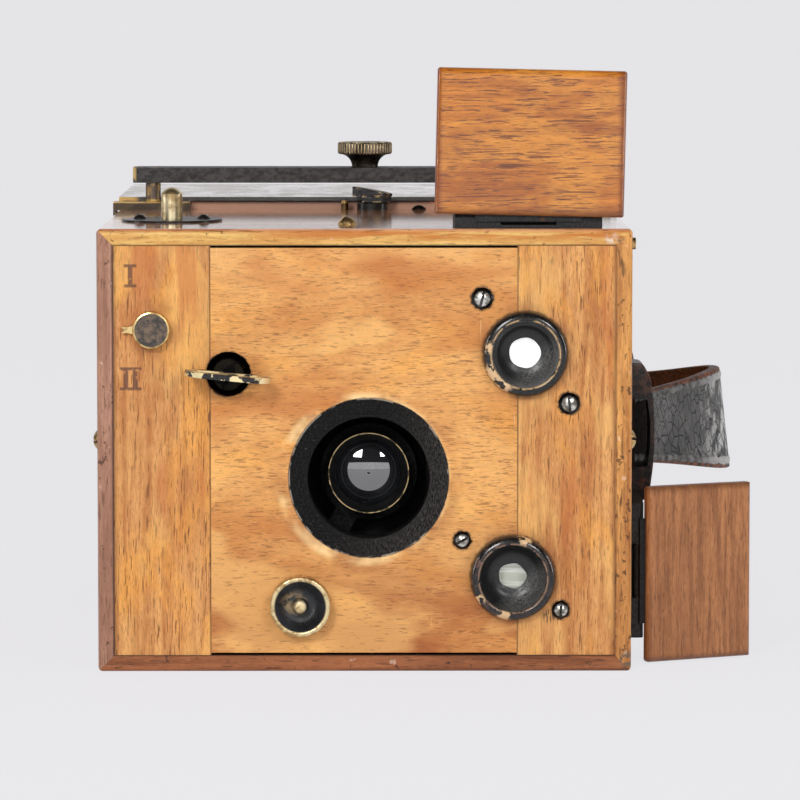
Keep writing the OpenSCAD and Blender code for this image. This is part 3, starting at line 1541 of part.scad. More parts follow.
// Arm clamped on the barrel, with a nut for the focusing screw
module focus_arm() {
  clamp_r = barrel_r + arm_t;
  nut_r = focus_screw_r + arm_t;
  reach = norm([knob_x - lens_x, knob_z - lens_z]);
  a = atan2(knob_z - lens_z, knob_x - lens_x);
  color("darkgoldenrod") difference() {
    union() {
      rod_y(lens_x, lens_z, arm_y, arm_y + arm_t, clamp_r);
      rod_y(knob_x, knob_z, arm_y, arm_y + arm_t, nut_r);
      translate([lens_x, 0, lens_z]) prism_y(arm_y, arm_y + arm_t)
        rotate(a) translate([0, -arm_w / 2]) square([reach, arm_w]);
    }
    rod_y(lens_x, lens_z, arm_y - cut, arm_y + arm_t + cut, barrel_r + seat_fit / 2);
    rod_y(knob_x, knob_z, arm_y - cut, arm_y + arm_t + cut, focus_screw_r + run_fit);
  }
}

// Turn button: a long hexagon whose left nose is raised to pass over the cover
module turn_button() {
  half = turn_l / 2;
  w = turn_w / 2;
  edge = 0.2;
  foot_x = -2 * turn_pivot_r + edge;
  color("black") translate([turn_x, turn_y, 0]) rotate([0, 0, -turn_rest]) {
    translate([0, 0, nose_z]) linear_extrude(nose_h)
      polygon([[-half, 0], [-half + nose_l, w], [half - nose_l, w], [half, 0],
        [half - nose_l, -w], [-half + nose_l, -w]]);
    translate([0, 0, turn_z]) linear_extrude(nose_z - turn_z + edge)
      polygon([[foot_x, w - edge], [half - nose_l - edge, w - edge], [half - 2 * edge, 0],
        [half - nose_l - edge, -w + edge], [foot_x, -w + edge]]);
    translate([0, 0, case_h - pin_depth + pass_gap])
      cylinder(r = turn_pivot_r, h = turn_z - case_h + pin_depth);
  }
}

module bridge_bar() {
  z1 = bar_z + bar_t;
  color("dimgray") difference() {
    translate([0, bar_y0 + bar_w / 2, bar_z]) linear_extrude(bar_t)
      round_rect(2 * bar_half_l, bar_w, bar_corner_r);
    translate([-post_x, post_y, bar_z - cut]) cylinder(r = neck_r + run_fit, h = bar_t + 2 * cut);
    translate([post_x, post_y, bar_z - cut]) cylinder(r = neck_r + pass_gap, h = bar_t + 2 * cut);
    block([post_x - neck_r - pass_gap, bar_y0 - cut, bar_z - cut],
      [post_x + neck_r + pass_gap, post_y, z1 + cut]);
    translate([0, thumb_y, bar_z - cut]) cylinder(r = thumb_thread_r + run_fit, h = bar_t + 2 * cut);
  }
}

// Thumbscrew: thread, concave neck and milled rim
module thumbscrew() {
  z1 = bar_z + bar_t + seat_fit;
  rim_z = thumb_neck_h;
  edge = 0.5;
  color("darkkhaki") translate([0, thumb_y, 0]) {
    translate([0, 0, bar_z]) cylinder(r = thumb_thread_r, h = bar_t + thumb_neck_h / 2);
    translate([0, 0, z1]) rotate_extrude($fn = 96) polygon(concat(
      [[0, 0]],
      [for (a = [0:15:90])
        [thumb_neck_r + (thumb_r - edge - thumb_neck_r) * (1 - cos(a)), rim_z * sin(a)]],
      [[thumb_r, rim_z + edge], [thumb_r, rim_z + thumb_rim_t - edge],
        [thumb_r - edge, rim_z + thumb_rim_t], [0, rim_z + thumb_rim_t]]));
  }
}

module magazine_cover() {
  y0 = rim_y0;
  y1 = back_y - 2 * pass_gap;
  color("silver") {
    block([-cover_half_w, y0, cover_z], [cover_half_w, y1, cover_z + cover_t]);
    for (side = [-1, 1])
      block([side < 0 ? -cover_half_w : cover_half_w - cover_t, y0, cover_z - cover_lip],
        [side < 0 ? -cover_half_w + cover_t : cover_half_w, y1, cover_z + cover_t / 2]);
  }
}

left_wall();
right_wall();
top_wall();
bottom_wall();
left_stile();
front_board();
right_stile();
back_panel();
lens_ring();
upper_finder_bezel();
lower_finder_bezel();
finder_lenses();
top_finder_box();
side_finder_box();
finder_mirrors();
ground_glasses();
top_finder_base();
side_finder_base();
steel_pins();
wood_screws();
brass_screws();
lens_board();
lens_sleeve();
shutter_plate();
image_frame();
magazine_cheeks();
plate_sheaths();
glass_plates();
pressure_board();
pressure_springs();
magazine_rim();
bridge_shoes();
button_escutcheon();
turn_base();
handle_keepers();
handle_strap();
tripod_bush();
top_finder_lid();
top_lid_leaf();
side_finder_lid();
side_lid_leaf();
winding_key();
winding_arbor();
mainspring();
click_pawl();
spring_drum();
shutter_blade();
release_button();
release_latch();
latch_spring();
selector();
focus_knob();
lens_barrel();
lens_elements();
lens_stop();
focus_arm();
turn_button();
bridge_bar();
thumbscrew();
magazine_cover();
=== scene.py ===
# %% [markdown]
# # A wooden detective camera
#
# This lesson dresses a camera of about 1890 whose solids come from a CAD model: a box for
# glass plates, with two reflecting finders under hinged lids, a brass lens in a deep black
# ring, a winding key, a screw for focusing and a leather handle. The CAD model settles where
# everything is and how it moves. Here the pieces get their wood, brass, black paint and
# leather, and the ones whose form a lathe, a knurling wheel or a saddler's needle made are
# drawn again as surfaces worked out with numpy.
# %% Tools and the fixed frame
import math
from functools import reduce

import bmesh
import bpy
import numpy as np
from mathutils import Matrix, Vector


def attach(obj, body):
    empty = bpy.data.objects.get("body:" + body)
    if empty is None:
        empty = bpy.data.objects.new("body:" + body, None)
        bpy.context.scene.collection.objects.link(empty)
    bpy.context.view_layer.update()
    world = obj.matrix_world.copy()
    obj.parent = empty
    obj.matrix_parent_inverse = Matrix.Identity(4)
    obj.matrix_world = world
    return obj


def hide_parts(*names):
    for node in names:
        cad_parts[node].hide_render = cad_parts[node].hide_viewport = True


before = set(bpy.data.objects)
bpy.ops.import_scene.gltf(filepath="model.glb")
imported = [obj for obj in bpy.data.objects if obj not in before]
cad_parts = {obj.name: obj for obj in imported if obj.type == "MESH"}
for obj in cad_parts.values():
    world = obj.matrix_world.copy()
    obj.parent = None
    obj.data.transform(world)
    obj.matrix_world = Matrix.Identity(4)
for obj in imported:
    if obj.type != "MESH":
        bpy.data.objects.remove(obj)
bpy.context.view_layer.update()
MM = 0.001


def added(name, data):
    """A new object in the scene, which holds a camera, a mesh or a lamp."""
    obj = bpy.data.objects.new(name, data)
    bpy.context.scene.collection.objects.link(obj)
    return obj


# %% [markdown]
# ## The camera that looks at it
#
# The photograph was taken with a long lens from about a metre and a half, a little above
# the box: the top shows as a thin strip and the sides not at all. A plain Blender camera
# with the same distance and the same narrow angle gives that view. Its place and tilt were
# fitted to the corners of the box.
# %% The camera
SENSOR = 36.0        # width of the camera's picture, in mm
REACH = 6.084        # focal length for each mm of that width

eye = bpy.data.cameras.new("eye")
eye.sensor_width = SENSOR
eye.lens = SENSOR * REACH
eye.clip_end = 20.0
eye_object = added("eye", eye)
eye_object.location = (0.00144, -1.5641, 0.2066)
eye_object.rotation_euler = (math.radians(90.0 - 4.921), 0.0, math.radians(-0.361))
bpy.context.scene.camera = eye_object
print("focal length", round(eye.lens, 1), "mm")

# %% [markdown]
# ## Skins over grids of points
#
# Every new piece below is a grid of points, one row for each step along it and one column
# for each step round it. The rows are joined to rings, and the first and last ring are
# closed, so that each piece is a shell with an inside. Marks, such as how near a point is
# to an edge, are numbers kept at the points, and the finishes read them.
# %% Skins
def skin(grid, ring=True, loop=False, shut=True, **marks):
    """Faces between neighbours of a grid of points, row by row.

    grid[i, j] is point j of row i. With ring, the last column joins the first; with loop,
    the last row joins the first. With shut, a flat fan about the middle of the first and
    of the last row closes the ends. Marks are arrays with one number for each point.
    """
    rows, columns = grid.shape[:2]
    index = np.arange(rows * columns).reshape(rows, columns)
    here = index if loop else index[:-1]
    there = np.roll(index, -1, axis=0) if loop else index[1:]
    if ring:
        a, b, c, d = here, np.roll(here, -1, 1), np.roll(there, -1, 1), there
    else:
        a, b, c, d = here[:, :-1], here[:, 1:], there[:, 1:], there[:, :-1]
    faces = np.stack([a, b, c, d], axis=-1).reshape(-1, 4).tolist()
    points = grid.reshape(-1, 3)
    values = {key: np.asarray(value, float).reshape(-1) for key, value in marks.items()}
    if shut and ring and not loop:
        middles = np.stack([grid[0].mean(0), grid[-1].mean(0)])
        first, last = len(points), len(points) + 1
        points = np.concatenate([points, middles])
        ahead = np.roll(index, -1, axis=1)
        faces += [(j, i, first) for i, j in zip(index[0], ahead[0])]
        faces += [(i, j, last) for i, j in zip(index[-1], ahead[-1])]
        for key, value in values.items():
            ends = [value[:columns].mean(), value[-columns:].mean()]
            values[key] = np.concatenate([value, ends])
    return points, [tuple(int(i) for i in face) for face in faces], values


def join(*skins):
    """Several skins as one: the points one after the other, the faces counted on."""
    faces, count = [], 0
    for points, part, _ in skins:
        faces += [tuple(i + count for i in face) for face in part]
        count += len(points)
    marks = {key: np.concatenate([own.get(key, np.zeros(len(points)))
                                  for points, _, own in skins])
             for key in sorted({key for *_, own in skins for key in own})}
    return np.concatenate([points for points, *_ in skins]), faces, marks


def outward(mesh):
    """Turns the faces of each closed shell outwards, after merging points that coincide."""
    work = bmesh.new()
    work.from_mesh(mesh)
    bmesh.ops.remove_doubles(work, verts=work.verts, dist=1e-7)
    bmesh.ops.dissolve_degenerate(work, edges=work.edges, dist=1e-8)
    bmesh.ops.recalc_face_normals(work, faces=work.faces)
    work.to_mesh(mesh)
    work.free()


def shaped(name, shell, finish):
    """An object with a finish, made of a skin whose points are in millimetres."""
    points, faces, marks = shell
    mesh = bpy.data.meshes.new(name)
    mesh.from_pydata((points * MM).tolist(), [], faces)
    for key, value in marks.items():
        mesh.attributes.new(key, "FLOAT", "POINT").data.foreach_set("value", value)
    mesh.validate()
    mesh.materials.append(finish.done())
    mesh.shade_smooth()
    print(f"{name}: {len(points)} points, {len(faces)} faces")
    return added(name, mesh)


def piece(name, shell, body, finish, stands_for=(), smooth=40.0):
    """Such an object as a piece of the camera, which rides a body."""
    obj = shaped(name, shell, finish)
    outward(obj.data)
    obj.data.set_sharp_from_angle(angle=math.radians(smooth))
    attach(obj, body)
    if stands_for:
        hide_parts(*stands_for)


# %% [markdown]
# ## The lathe
#
# Bezels, knobs, screw heads and the thumbscrew are turned. A turned shape is a profile, a
# row of radius and height, carried once round an axis. Where a knurling wheel pressed
# grooves into the rim, the radius also depends on the angle.
# %% The lathe
AXES = {"front": np.array([(1.0, 0, 0), (0, 0, 1), (0, -1, 0)]), "top": np.eye(3)}


def rounded(profile, r, steps=5):
    """A profile with each inner corner cut back by r and replaced by a small arc.

    Each arc is the curve (1-t)^2 a + 2 t (1-t) corner + t^2 b between the points a and b
    that lie r before and after the corner.
    """
    out = [profile[0]]
    for corners in zip(profile[:-2], profile[1:-1], profile[2:]):
        before, corner, after = (np.array(point) for point in corners)
        one, two = np.linalg.norm(before - corner), np.linalg.norm(after - corner)
        a = corner + (before - corner) * min(r, one * 0.45) / one
        b = corner + (after - corner) * min(r, two * 0.45) / two
        t = np.linspace(0, 1, steps)[:, None]
        out += list((1 - t) ** 2 * a + 2 * t * (1 - t) * corner + t ** 2 * b)
    out.append(profile[-1])
    return np.array(out, float)


def turned(profile, place, side="front", around=96, groove=None, hollow=False, **marks):
    """A profile of (radius, height) turned about an axis through place.

    Point = place + r cos(a) U + r sin(a) V + h N, where N looks away from the named side
    and a goes once round. groove(a, r, h) is added to the radius. Each mark is a function
    of r and h. A hollow profile is a closed loop beside the axis, as in a ring.
    """
    u, v, n = AXES[side]
    profile = np.asarray(profile, float)
    r, h = profile[:, 0][:, None], profile[:, 1][:, None]
    a = np.linspace(0, 2 * np.pi, around, endpoint=False)[None, :]
    radius = r + (groove(a, r, h) if groove else 0 * a)
    grid = (np.array(place, float) + (radius * np.cos(a))[..., None] * u
            + (radius * np.sin(a))[..., None] * v + (h + 0 * a)[..., None] * n)
    values = {key: mark(r, h) + 0 * a for key, mark in marks.items()}
    return skin(grid, loop=hollow, shut=not hollow, **values)


def rod(place, side, r, low, high, around=24):
    """A round rod with slightly broken edges, from one height to another on its axis."""
    rim = min(0.2, r / 4)
    profile = [(0, low), (r - rim, low), (r, low + rim), (r, high - rim), (r - rim, high),
               (0, high)]
    return turned(profile, place, side, around)


def slab(outline, low, high, rim, place=(0, 0, 0), side="top", turn=0.0):
    """An upright slab over an outline, its upper and lower edges broken by rim.

    The outline goes once round; each of its points is drawn towards the middle by rim in
    the lowest and highest row. high may be a function of the outline's points.
    """
    u, v, n = AXES[side]
    outline = np.asarray(outline, float)
    middle = outline.mean(0)
    away = outline - middle
    inner = middle + away * (1 - rim / np.linalg.norm(away, axis=1))[:, None]
    a = math.radians(turn)
    spin = np.array([[math.cos(a), math.sin(a)], [-math.sin(a), math.cos(a)]])
    rows, worn = [], []
    for flat, level, lift, mark in (
            (inner, low, 0, 1), (outline, low, rim, 1), (outline, low, 3 * rim, 0),
            (outline, high, -2 * rim, 0), (outline, high, -rim, 1), (inner, high, 0, 1)):
        height = (level(flat) if callable(level) else level + 0 * flat[:, 0]) + lift
        spun = flat @ spin
        rows.append(np.array(place, float) + spun[:, :1] * u + spun[:, 1:] * v
                    + height[:, None] * n)
        worn.append(mark + 0 * height)
    return skin(np.stack(rows), worn=np.stack(worn))


def stepped(corners, steps=8):
    """The sides of a polygon, each cut into equal steps: corner (1 - t) + next corner t."""
    ends = np.roll(np.array(corners, float), -1, axis=0)
    t = np.linspace(0, 1, steps, endpoint=False)[None, :, None]
    return (np.array(corners, float)[:, None] * (1 - t) + ends[:, None] * t).reshape(-1, 2)


# %% [markdown]
# ## Writing a finish
#
# A finish is a small network of shader nodes. The helper below keeps the networks short:
# each call adds one node and gives back its output, which the next call takes. The finish
# also remembers its look, the colour so far, and lay() puts the next tone over it, as
# stains, dirt and wear came one after the other on the real piece.
# %% Finishes
SOCKETS = {"rough": "Roughness", "metal": "Metallic", "specular": "Specular IOR Level",
           "ior": "IOR", "coat": "Coat Weight", "coat_rough": "Coat Roughness",
           "coat_ior": "Coat IOR", "glow": "Emission Color", "glow_power": "Emission Strength",
           "clear": "Transmission Weight"}


def tone(r, g, b):
    """A screen colour, 0 to 255, as the linear colour that shaders take."""
    s = np.array([r, g, b]) / 255.0
    return (*np.where(s <= 0.04045, s / 12.92, ((s + 0.055) / 1.055) ** 2.4).tolist(), 1.0)


def three(value):
    """One number as three equal ones; three numbers as they are."""
    return tuple(value) if np.ndim(value) else (value,) * 3


class Finish:
    """A material under construction; its methods add nodes and return their outputs."""

    def __init__(self, name, rough=0.5, metal=0.0):
        self.material = bpy.data.materials.new(name)
        self.material.use_nodes = True
        self.nodes = self.material.node_tree.nodes
        self.links = self.material.node_tree.links
        self.shader = self.nodes["Principled BSDF"]
        self.place = self.nodes.new("ShaderNodeTexCoord").outputs["Object"]
        self.look = None
        self.set(rough=rough, metal=metal)

    def put(self, socket, value):
        """Links an output to a socket, or writes a number or a colour into it."""
        if isinstance(value, bpy.types.NodeSocket):
            self.links.new(value, socket)
        else:
            socket.default_value = value

    def set(self, **values):
        """Sets sockets of the shader by the short names in SOCKETS."""
        for key, value in values.items():
            self.put(self.shader.inputs[SOCKETS[key]], value)

    def node(self, kind, output=0, inputs=(), **settings):
        """Adds a node with its settings and inputs and gives back one of its outputs."""
        node = self.nodes.new("ShaderNode" + kind)
        for key, value in settings.items():
            setattr(node, key, value)
        for key, value in dict(inputs).items():
            self.put(node.inputs[key], value)
        return node.outputs[output]

    def map(self, scale=1, turn=(0, 0, 0), shift=0):
        """The place on the piece, scaled, turned by degrees and shifted."""
        angles = [math.radians(t) for t in turn]
        return self.node("Mapping", 0, {"Vector": self.place, "Scale": three(scale),
                                        "Rotation": angles, "Location": three(shift)})

    def noise(self, scale, detail=4.0, rough=0.55, twist=0.0, **moves):
        """Clouds of numbers about 0.5; scale says how many lie along a metre of each axis."""
        return self.node("TexNoise", 0, {
            "Vector": self.map(scale, **moves), "Scale": 1.0, "Detail": detail,
            "Roughness": rough, "Distortion": twist})

    def cells(self, where):
        """The distance to the nearest edge in a net of uneven cells, one unit across."""
        return self.node("TexVoronoi", "Distance", {"Vector": where, "Scale": 1.0},
                         feature="DISTANCE_TO_EDGE")

    def math(self, operation, a, b=0.0):
        """One step of arithmetic, under Blender's name for it."""
        return self.node("Math", 0, {0: a, 1: b}, operation=operation)

    def less(self, a, b):
        """The difference a - b."""
        return self.math("SUBTRACT", a, b)

    def most(self, *shares):
        """The largest of several shares."""
        return reduce(lambda a, b: self.math("MAXIMUM", a, b), shares)

    def times(self, *shares):
        """The product of several shares, which is high only where all of them are."""
        return reduce(lambda a, b: self.math("MULTIPLY", a, b), shares)

    def fit(self, value, low, high, to_low=0.0, to_high=1.0):
        """A smooth step from to_low to to_high while the value goes from low to high."""
        return self.node("MapRange", 0, {
            "Value": value, "From Min": low, "From Max": high, "To Min": to_low,
            "To Max": to_high}, interpolation_type="SMOOTHSTEP")

    def mark(self, name):
        """A mark kept at the points of the piece."""
        return self.node("Attribute", "Fac", attribute_name=name)

    def axis(self, name):
        """One coordinate of the place, in metres."""
        return self.node("SeparateXYZ", "xyz".index(name), {0: self.place})

    def rise(self, axis, low, high, *to):
        """A smooth step along an axis between two places given in mm."""
        return self.fit(self.axis(axis), low * MM, high * MM, *to)

    def off(self, axis, middle, low, high):
        """A smooth step by the distance in mm from a plane that crosses the axis."""
        away = self.math("ABSOLUTE", self.less(self.axis(axis), middle * MM))
        return self.fit(away, low * MM, high * MM)

    def gap(self, *line):
        """The distance from a line given in mm, with None for the axis that it follows."""
        flat = [0 if place is None else 1 for place in line]
        foot = [0 if place is None else place * MM for place in line]
        return self.node("VectorMath", "Value", {0: self.map(flat), 1: foot},
                         operation="DISTANCE")

    def near(self, x, z, low, high):
        """A share that falls from 1 to 0 between two distances, in mm, from a line along Y."""
        return self.fit(self.gap(x, None, z), high * MM, low * MM)

    def slip(self, scale, low, high, seed=0.0):
        """Patches: a share that is 1 where a noise lies above high and 0 where below low."""
        cloud = self.noise(scale, 3, shift=(seed, seed * 0.7, seed * 1.3))
        return self.fit(cloud, low, high)

    def blend(self, share, a, b, how="MIX"):
        """The colour a where the share is 0 and the colour b where it is 1."""
        return self.node("Mix", 2, {0: share, 6: a, 7: b}, data_type="RGBA", blend_type=how)

    def tones(self, share, first, second):
        """The same for two screen colours."""
        return self.blend(share, tone(*first), tone(*second))

    def lay(self, colour, *shares):
        """Puts a screen colour, or else any linear colour, over the look so far."""
        if isinstance(colour, tuple) and len(colour) == 3:
            colour = tone(*colour)
        self.look = self.blend(self.times(*shares), self.look, colour)

    def relief(self, height, depth, strength):
        """Bumps for the light alone: the height counts for up to depth metres."""
        bump = self.node("Bump", 0, {"Strength": strength, "Distance": depth,
                                     "Height": height})
        self.put(self.shader.inputs["Normal"], bump)

    def done(self):
        """Gives the look to the shader, and the material to the caller."""
        self.put(self.shader.inputs["Base Color"], self.look)
        return self.material


def dress(finish, *nodes):
    """Gives a finish to CAD nodes by their names."""
    material = finish.done()
    for node in nodes:
        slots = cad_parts[node].data.materials
        slots.clear()
        slots.append(material)
    print(material.name, "on", ", ".join(nodes))


# %% [markdown]
# ## Walnut and its pores
#
# The box is of walnut under a shellac polish. Its grain has three sizes: streaks a few
# millimetres wide, from the growth rings; pores, thin dark dashes as long as a grain of
# rice; and fibres that only catch the light. All three are noises stretched along the
# grain. The finish takes the direction of the grain as a letter.
# %% Wood
def wood(name, pale, dark, grain="x", seed=0.0, rough=0.35, streak=(12, 150), pores=0.7,
         pore=(170, 1900), figure=0.4, blotch=0.45, dusty=0.3, gloss=0.0, golden=0.0):
    """A wood finish, which keeps its pores for a later coat.

    Look = pale to dark by the streaks, then by soft blotches, then golden in places, then
    darker in the fibres, pores and dust. streak and pore are counts a metre, along the
    grain and across it.
    """
    f = Finish(name, rough)
    axis = "xyz".index(grain)
    move = (seed, seed * 0.6, seed * 1.7)

    def grown(along, across, *shape, shift=move):
        return f.noise([along if i == axis else across for i in range(3)], *shape, shift=shift)

    streaks = grown(*streak, 4, 0.6, figure)
    cloud = grown(14, 34, 3, 0.55, 0.5)
    fibre = grown(260, 2600, 2, 0.6)
    f.pores = f.fit(grown(*pore, 2, 0.5), 0.60, 0.66)
    warm = grown(30, 75, 3, 0.6, 0.6, shift=(seed + 5, seed + 3, seed))
    dust = grown(480, 3900, 2, 0.6)
    spots = grown(260, 520, 4, 0.65)
    deep = tuple(0.42 * c for c in tone(*dark)[:3]) + (1.0,)
    f.look = f.tones(f.fit(streaks, 0.32, 0.68), pale, dark)
    f.lay(dark, f.fit(cloud, 0.42, 0.70), blotch)
    f.lay((246, 172, 72), f.fit(warm, 0.46, 0.66, 0.0, golden))
    f.lay(deep, f.fit(fibre, 0.3, 0.7, 0.16, 0.0))
    f.lay(deep, f.pores, pores)
    f.lay(deep, f.fit(dust, 0.50, 0.70, 0.0, dusty))
    f.lay(dark, f.fit(spots, 0.50, 0.72, 0.0, 0.3))
    f.lay(pale, f.fit(spots, 0.46, 0.30, 0.0, 0.3))
    f.relief(f.less(f.times(fibre, 0.25), f.pores), 0.00012, 0.35)
    f.set(rough=f.fit(cloud, 0.3, 0.7, rough - 0.05, rough + 0.08),
          specular=0.3, coat=gloss, coat_rough=0.05)
    return f


# %% [markdown]
# ### The front
#
# The front is three boards side by side. The middle one lies with its grain level, in a
# swirl where a branch began; the stiles beside it stand upright. Round the lens ring, the
# bezels, the key hole and the selector the front is darker in ragged patches; thin dark seams
# ring the lens ring, the bezels, the key hole and the screws.
# Places on the front are pairs, x to the right and z upwards, in millimetres.
# %% The places on the front
FRONT = -115.0                                   # y of the front's face
LENS, KEY_HOLE, SELECTOR, KNOB = (1.2, 58.4), (-40.7, 89.6), (-63.6, 102.9), (-19.3, 20.2)
BEZELS = {"upper": (48.0, 95.7), "lower": (44.4, 28.5)}
# each screw with its radius
FRONT_SCREWS = [(35.1, 112.2, 3.3), (61.2, 80.7, 3.3), (29.2, 39.6, 2.7), (58.8, 18.6, 2.7)]
# strokes of the numerals I and II: the middle, half the width and half the height of each
NUMERALS = [(-69.9, 119.0, 0.7, 3.2), (-69.9, 122.0, 1.9, 0.45), (-69.9, 116.0, 1.9, 0.45),
            (-71.3, 88.2, 0.7, 3.2), (-68.5, 88.2, 0.7, 3.2), (-69.9, 91.2, 3.3, 0.45),
            (-69.9, 85.2, 3.3, 0.45)]


def front_marks(f):
    """Dark seams round everything that is set in the front, with a ragged outer edge."""
    f.lay((255, 218, 156), f.near(-0.4, 58.0, 24.6, 27.0), f.slip(70, 0.40, 0.58, 9.0), 0.85)
    halo = f.most(f.near(*LENS, 24.0, 31.0), f.near(*BEZELS["upper"], 12.0, 17.0),
                  f.near(*BEZELS["lower"], 12.0, 17.5), f.near(*KEY_HOLE, 6.0, 14.0),
                  f.near(*SELECTOR, 5.0, 12.0))
    f.lay((150, 88, 48), halo, f.slip(120, 0.40, 0.66, 3.0), 0.55)
    gouge = f.slip((1300, 1300, 260), 0.44, 0.50, 4.0)
    f.lay((70, 48, 36), f.near(55.4, 16.8, 1.2, 2.6), gouge, 0.85)
    seams = [f.near(x, z, r + 0.1, r + 0.8) for x, z, r in FRONT_SCREWS]
    seams += [f.near(*LENS, 24.0, 24.35), f.near(*KEY_HOLE, 6.7, 7.3)]
    seams += [f.near(*place, 12.6, 13.5) for place in BEZELS.values()]
    rag = f.fit(f.noise(900, 3), 0.35, 0.65, 0.25, 1.0)
    f.lay((40, 26, 18), f.most(*seams), rag)


# %% The front boards
f = wood("front_walnut", (238, 178, 106), (206, 138, 74), "x", 1.3, streak=(15, 34),
         figure=0.9, blotch=0.3, pore=(260, 2000), pores=0.62, golden=0.35)
f.lay((160, 90, 46), f.rise("z", 50, 8), f.slip((40, 40, 90), 0.30, 0.60, 5.0), 0.95)
f.lay((246, 192, 122), f.rise("z", 108, 126), f.slip((50, 50, 110), 0.35, 0.6, 8.0), 0.5)
sweeps = f.noise((12, 12, 34), 3, 0.5, 0.5, turn=(0, 40, 0), shift=4)
f.lay((250, 198, 122), f.fit(sweeps, 0.52, 0.60, 0.0, 0.45))
f.lay((186, 108, 52), f.fit(sweeps, 0.46, 0.34, 0.0, 0.6))
scratches = f.slip((2600, 2600, 60), 0.70, 0.75, 2.0)
strokes = f.fit(f.noise((1900, 1900, 26), 1, turn=(0, 24, 0)), 0.72, 0.78)
f.lay((255, 222, 168), f.most(scratches, strokes), f.slip(60, 0.5, 0.6, 3.0), 0.6)
f.lay((120, 66, 34), f.slip((330, 330, 2300), 0.61, 0.66, 6.0), 0.5)
front_marks(f)
dress(f, "front_board")

for node, seed, joint in (("left_stile", 4.1, -46.0), ("right_stile", 7.7, 45.6)):
    f = wood(node + "_walnut", (230, 170, 104), (184, 117, 64), "z", seed, streak=(17, 300),
             figure=0.9, pore=(150, 2300), pores=0.9, dusty=0.5, golden=0.5)
    f.lay((246, 196, 118), f.slip((60, 60, 28), 0.50, 0.62, seed + 1), 0.3)
    ruddy = f.noise((110, 110, 16), 3, turn=(0, 14, 0), shift=seed)
    f.lay((186, 104, 54), f.fit(ruddy, 0.54, 0.68), 0.55)
    f.lay((90, 48, 26), f.off("x", 0, 73.5, 75.2), 0.55)
    f.lay((60, 34, 20), f.off("x", joint, 0.6, 0.2), 0.7)
    if node == "left_stile":
        # two numerals beside the selector, one stroke and two, pressed in with a chisel
        pressed = [f.times(f.off("x", x, wide + 0.2, wide - 0.2),
                           f.off("z", z, tall + 0.2, tall - 0.2))
                   for x, z, wide, tall in NUMERALS]
        f.lay((92, 58, 50), f.most(*pressed), f.slip(700, 0.30, 0.46), 0.8)
    front_marks(f)
    dress(f, node)

# %% [markdown]
# ### The four walls
#
# The walls meet in mitres. Their front edges are what shows beside the front, and each has
# its own colour, because each board came from another plank and wore in its own way. The
# top is polished so well that it mirrors what stands on it.
# %% The walls
def wall(name, grain, pale, dark, seed, chips=0.3, many=0.0):
    """An outer wall: wood with dark specks, pale chips and bruises on its front edge."""
    f = wood(name, pale, dark, grain, seed, rough=0.3, streak=(20, 300))
    edge = f.rise("y", FRONT + 2.2, FRONT + 0.8)
    f.lay((60, 36, 24), f.slip(420, 0.64 - many, 0.70 - many, seed), edge, 0.75)
    f.lay((238, 226, 210), f.slip(260, 0.66, 0.72, seed + 2), edge, chips)
    rag = f.slip(700, 0.42, 0.50, 3.0)
    bruise = f.most(f.near(79.0, 3.6, 1.4, 3.4), f.near(76.4, 129.8, 0.4, 1.6))
    f.lay((92, 84, 76), bruise, rag, edge, 0.85)
    f.lay((226, 214, 198), f.near(73.6, 130.6, 0.8, 2.6), rag, edge)
    return f


f = wall("left_walnut", "z", (186, 140, 116), (146, 102, 82), 2.2)
f.lay((52, 28, 18), f.rise("x", -75.8, -75.2), 0.8)
dress(f, "left_wall")

f = wall("right_walnut", "z", (230, 166, 92), (166, 104, 54), 5.5, many=0.04)
f.lay((58, 36, 26), f.slip((300, 300, 60), 0.58, 0.66, 1.0), f.rise("x", 79.0, 76.5), 0.8)
f.lay((100, 56, 28), f.rise("x", 75.8, 75.2), 0.55)
dress(f, "right_wall")

f = wall("bottom_walnut", "x", (172, 108, 68), (120, 68, 38), 6.4)
f.lay((40, 22, 14), f.rise("z", 4.4, 5.0), 0.8)
dress(f, "bottom_wall")

f = wall("top_walnut", "x", (240, 202, 122), (206, 148, 76), 9.1, 0.35)
f.lay((188, 106, 36), f.slip((30, 60, 420), 0.42, 0.54, 7.0),
      f.rise("z", 129.0, 131.2, 0.2, 1.0), f.rise("x", -45, -10, 0.35, 1.0), 0.85)
grain = f.fit(f.noise((10, 240, 10), 4, 0.6, 0.5), 0.36, 0.64)
polish = f.tones(grain, (232, 166, 118), (178, 106, 64))
polish = f.blend(f.times(f.pores, 0.6), polish, tone(96, 54, 32))
upper = f.rise("z", 131.6, 132.8)
f.lay(polish, upper)
f.lay((40, 24, 15), f.rise("z", 128.6, 128.0), 0.8)
streaky = f.fit(f.noise((14, 260, 14), 3), 0.36, 0.60, 0.6, 1.0)
f.set(rough=f.rise("z", 131.6, 132.8, 0.32, 0.10), coat=f.times(upper, streaky),
      coat_rough=0.1, coat_ior=2.3)
dress(f, "top_wall")

dress(wood("back_walnut", (190, 130, 80), (140, 88, 52), "x", 12.0), "back_panel")

# %% [markdown]
# ### Lids and inner wood
#
# The top lid is a thin board of redder wood, polished, with long thin pores across it. The
# lid of the side finder is browner and its grain runs up and down.
# %% The lids, the rim and the inner boards
f = wood("top_lid_walnut", (212, 132, 44), (158, 84, 24), "x", 15.2, rough=0.28,
         streak=(9, 300), pore=(120, 1900), pores=0.9, figure=0.3, gloss=0.7, golden=0.4)
f.lay((92, 44, 26), f.slip((170, 2600, 2600), 0.58, 0.62, 6.0), 0.7)
f.lay((118, 56, 30), f.off("x", 49.3, 25.5, 27.5), 0.7)
f.lay((96, 50, 28), f.rise("z", 140.0, 137.5), 0.6)
dress(f, "top_finder_lid")

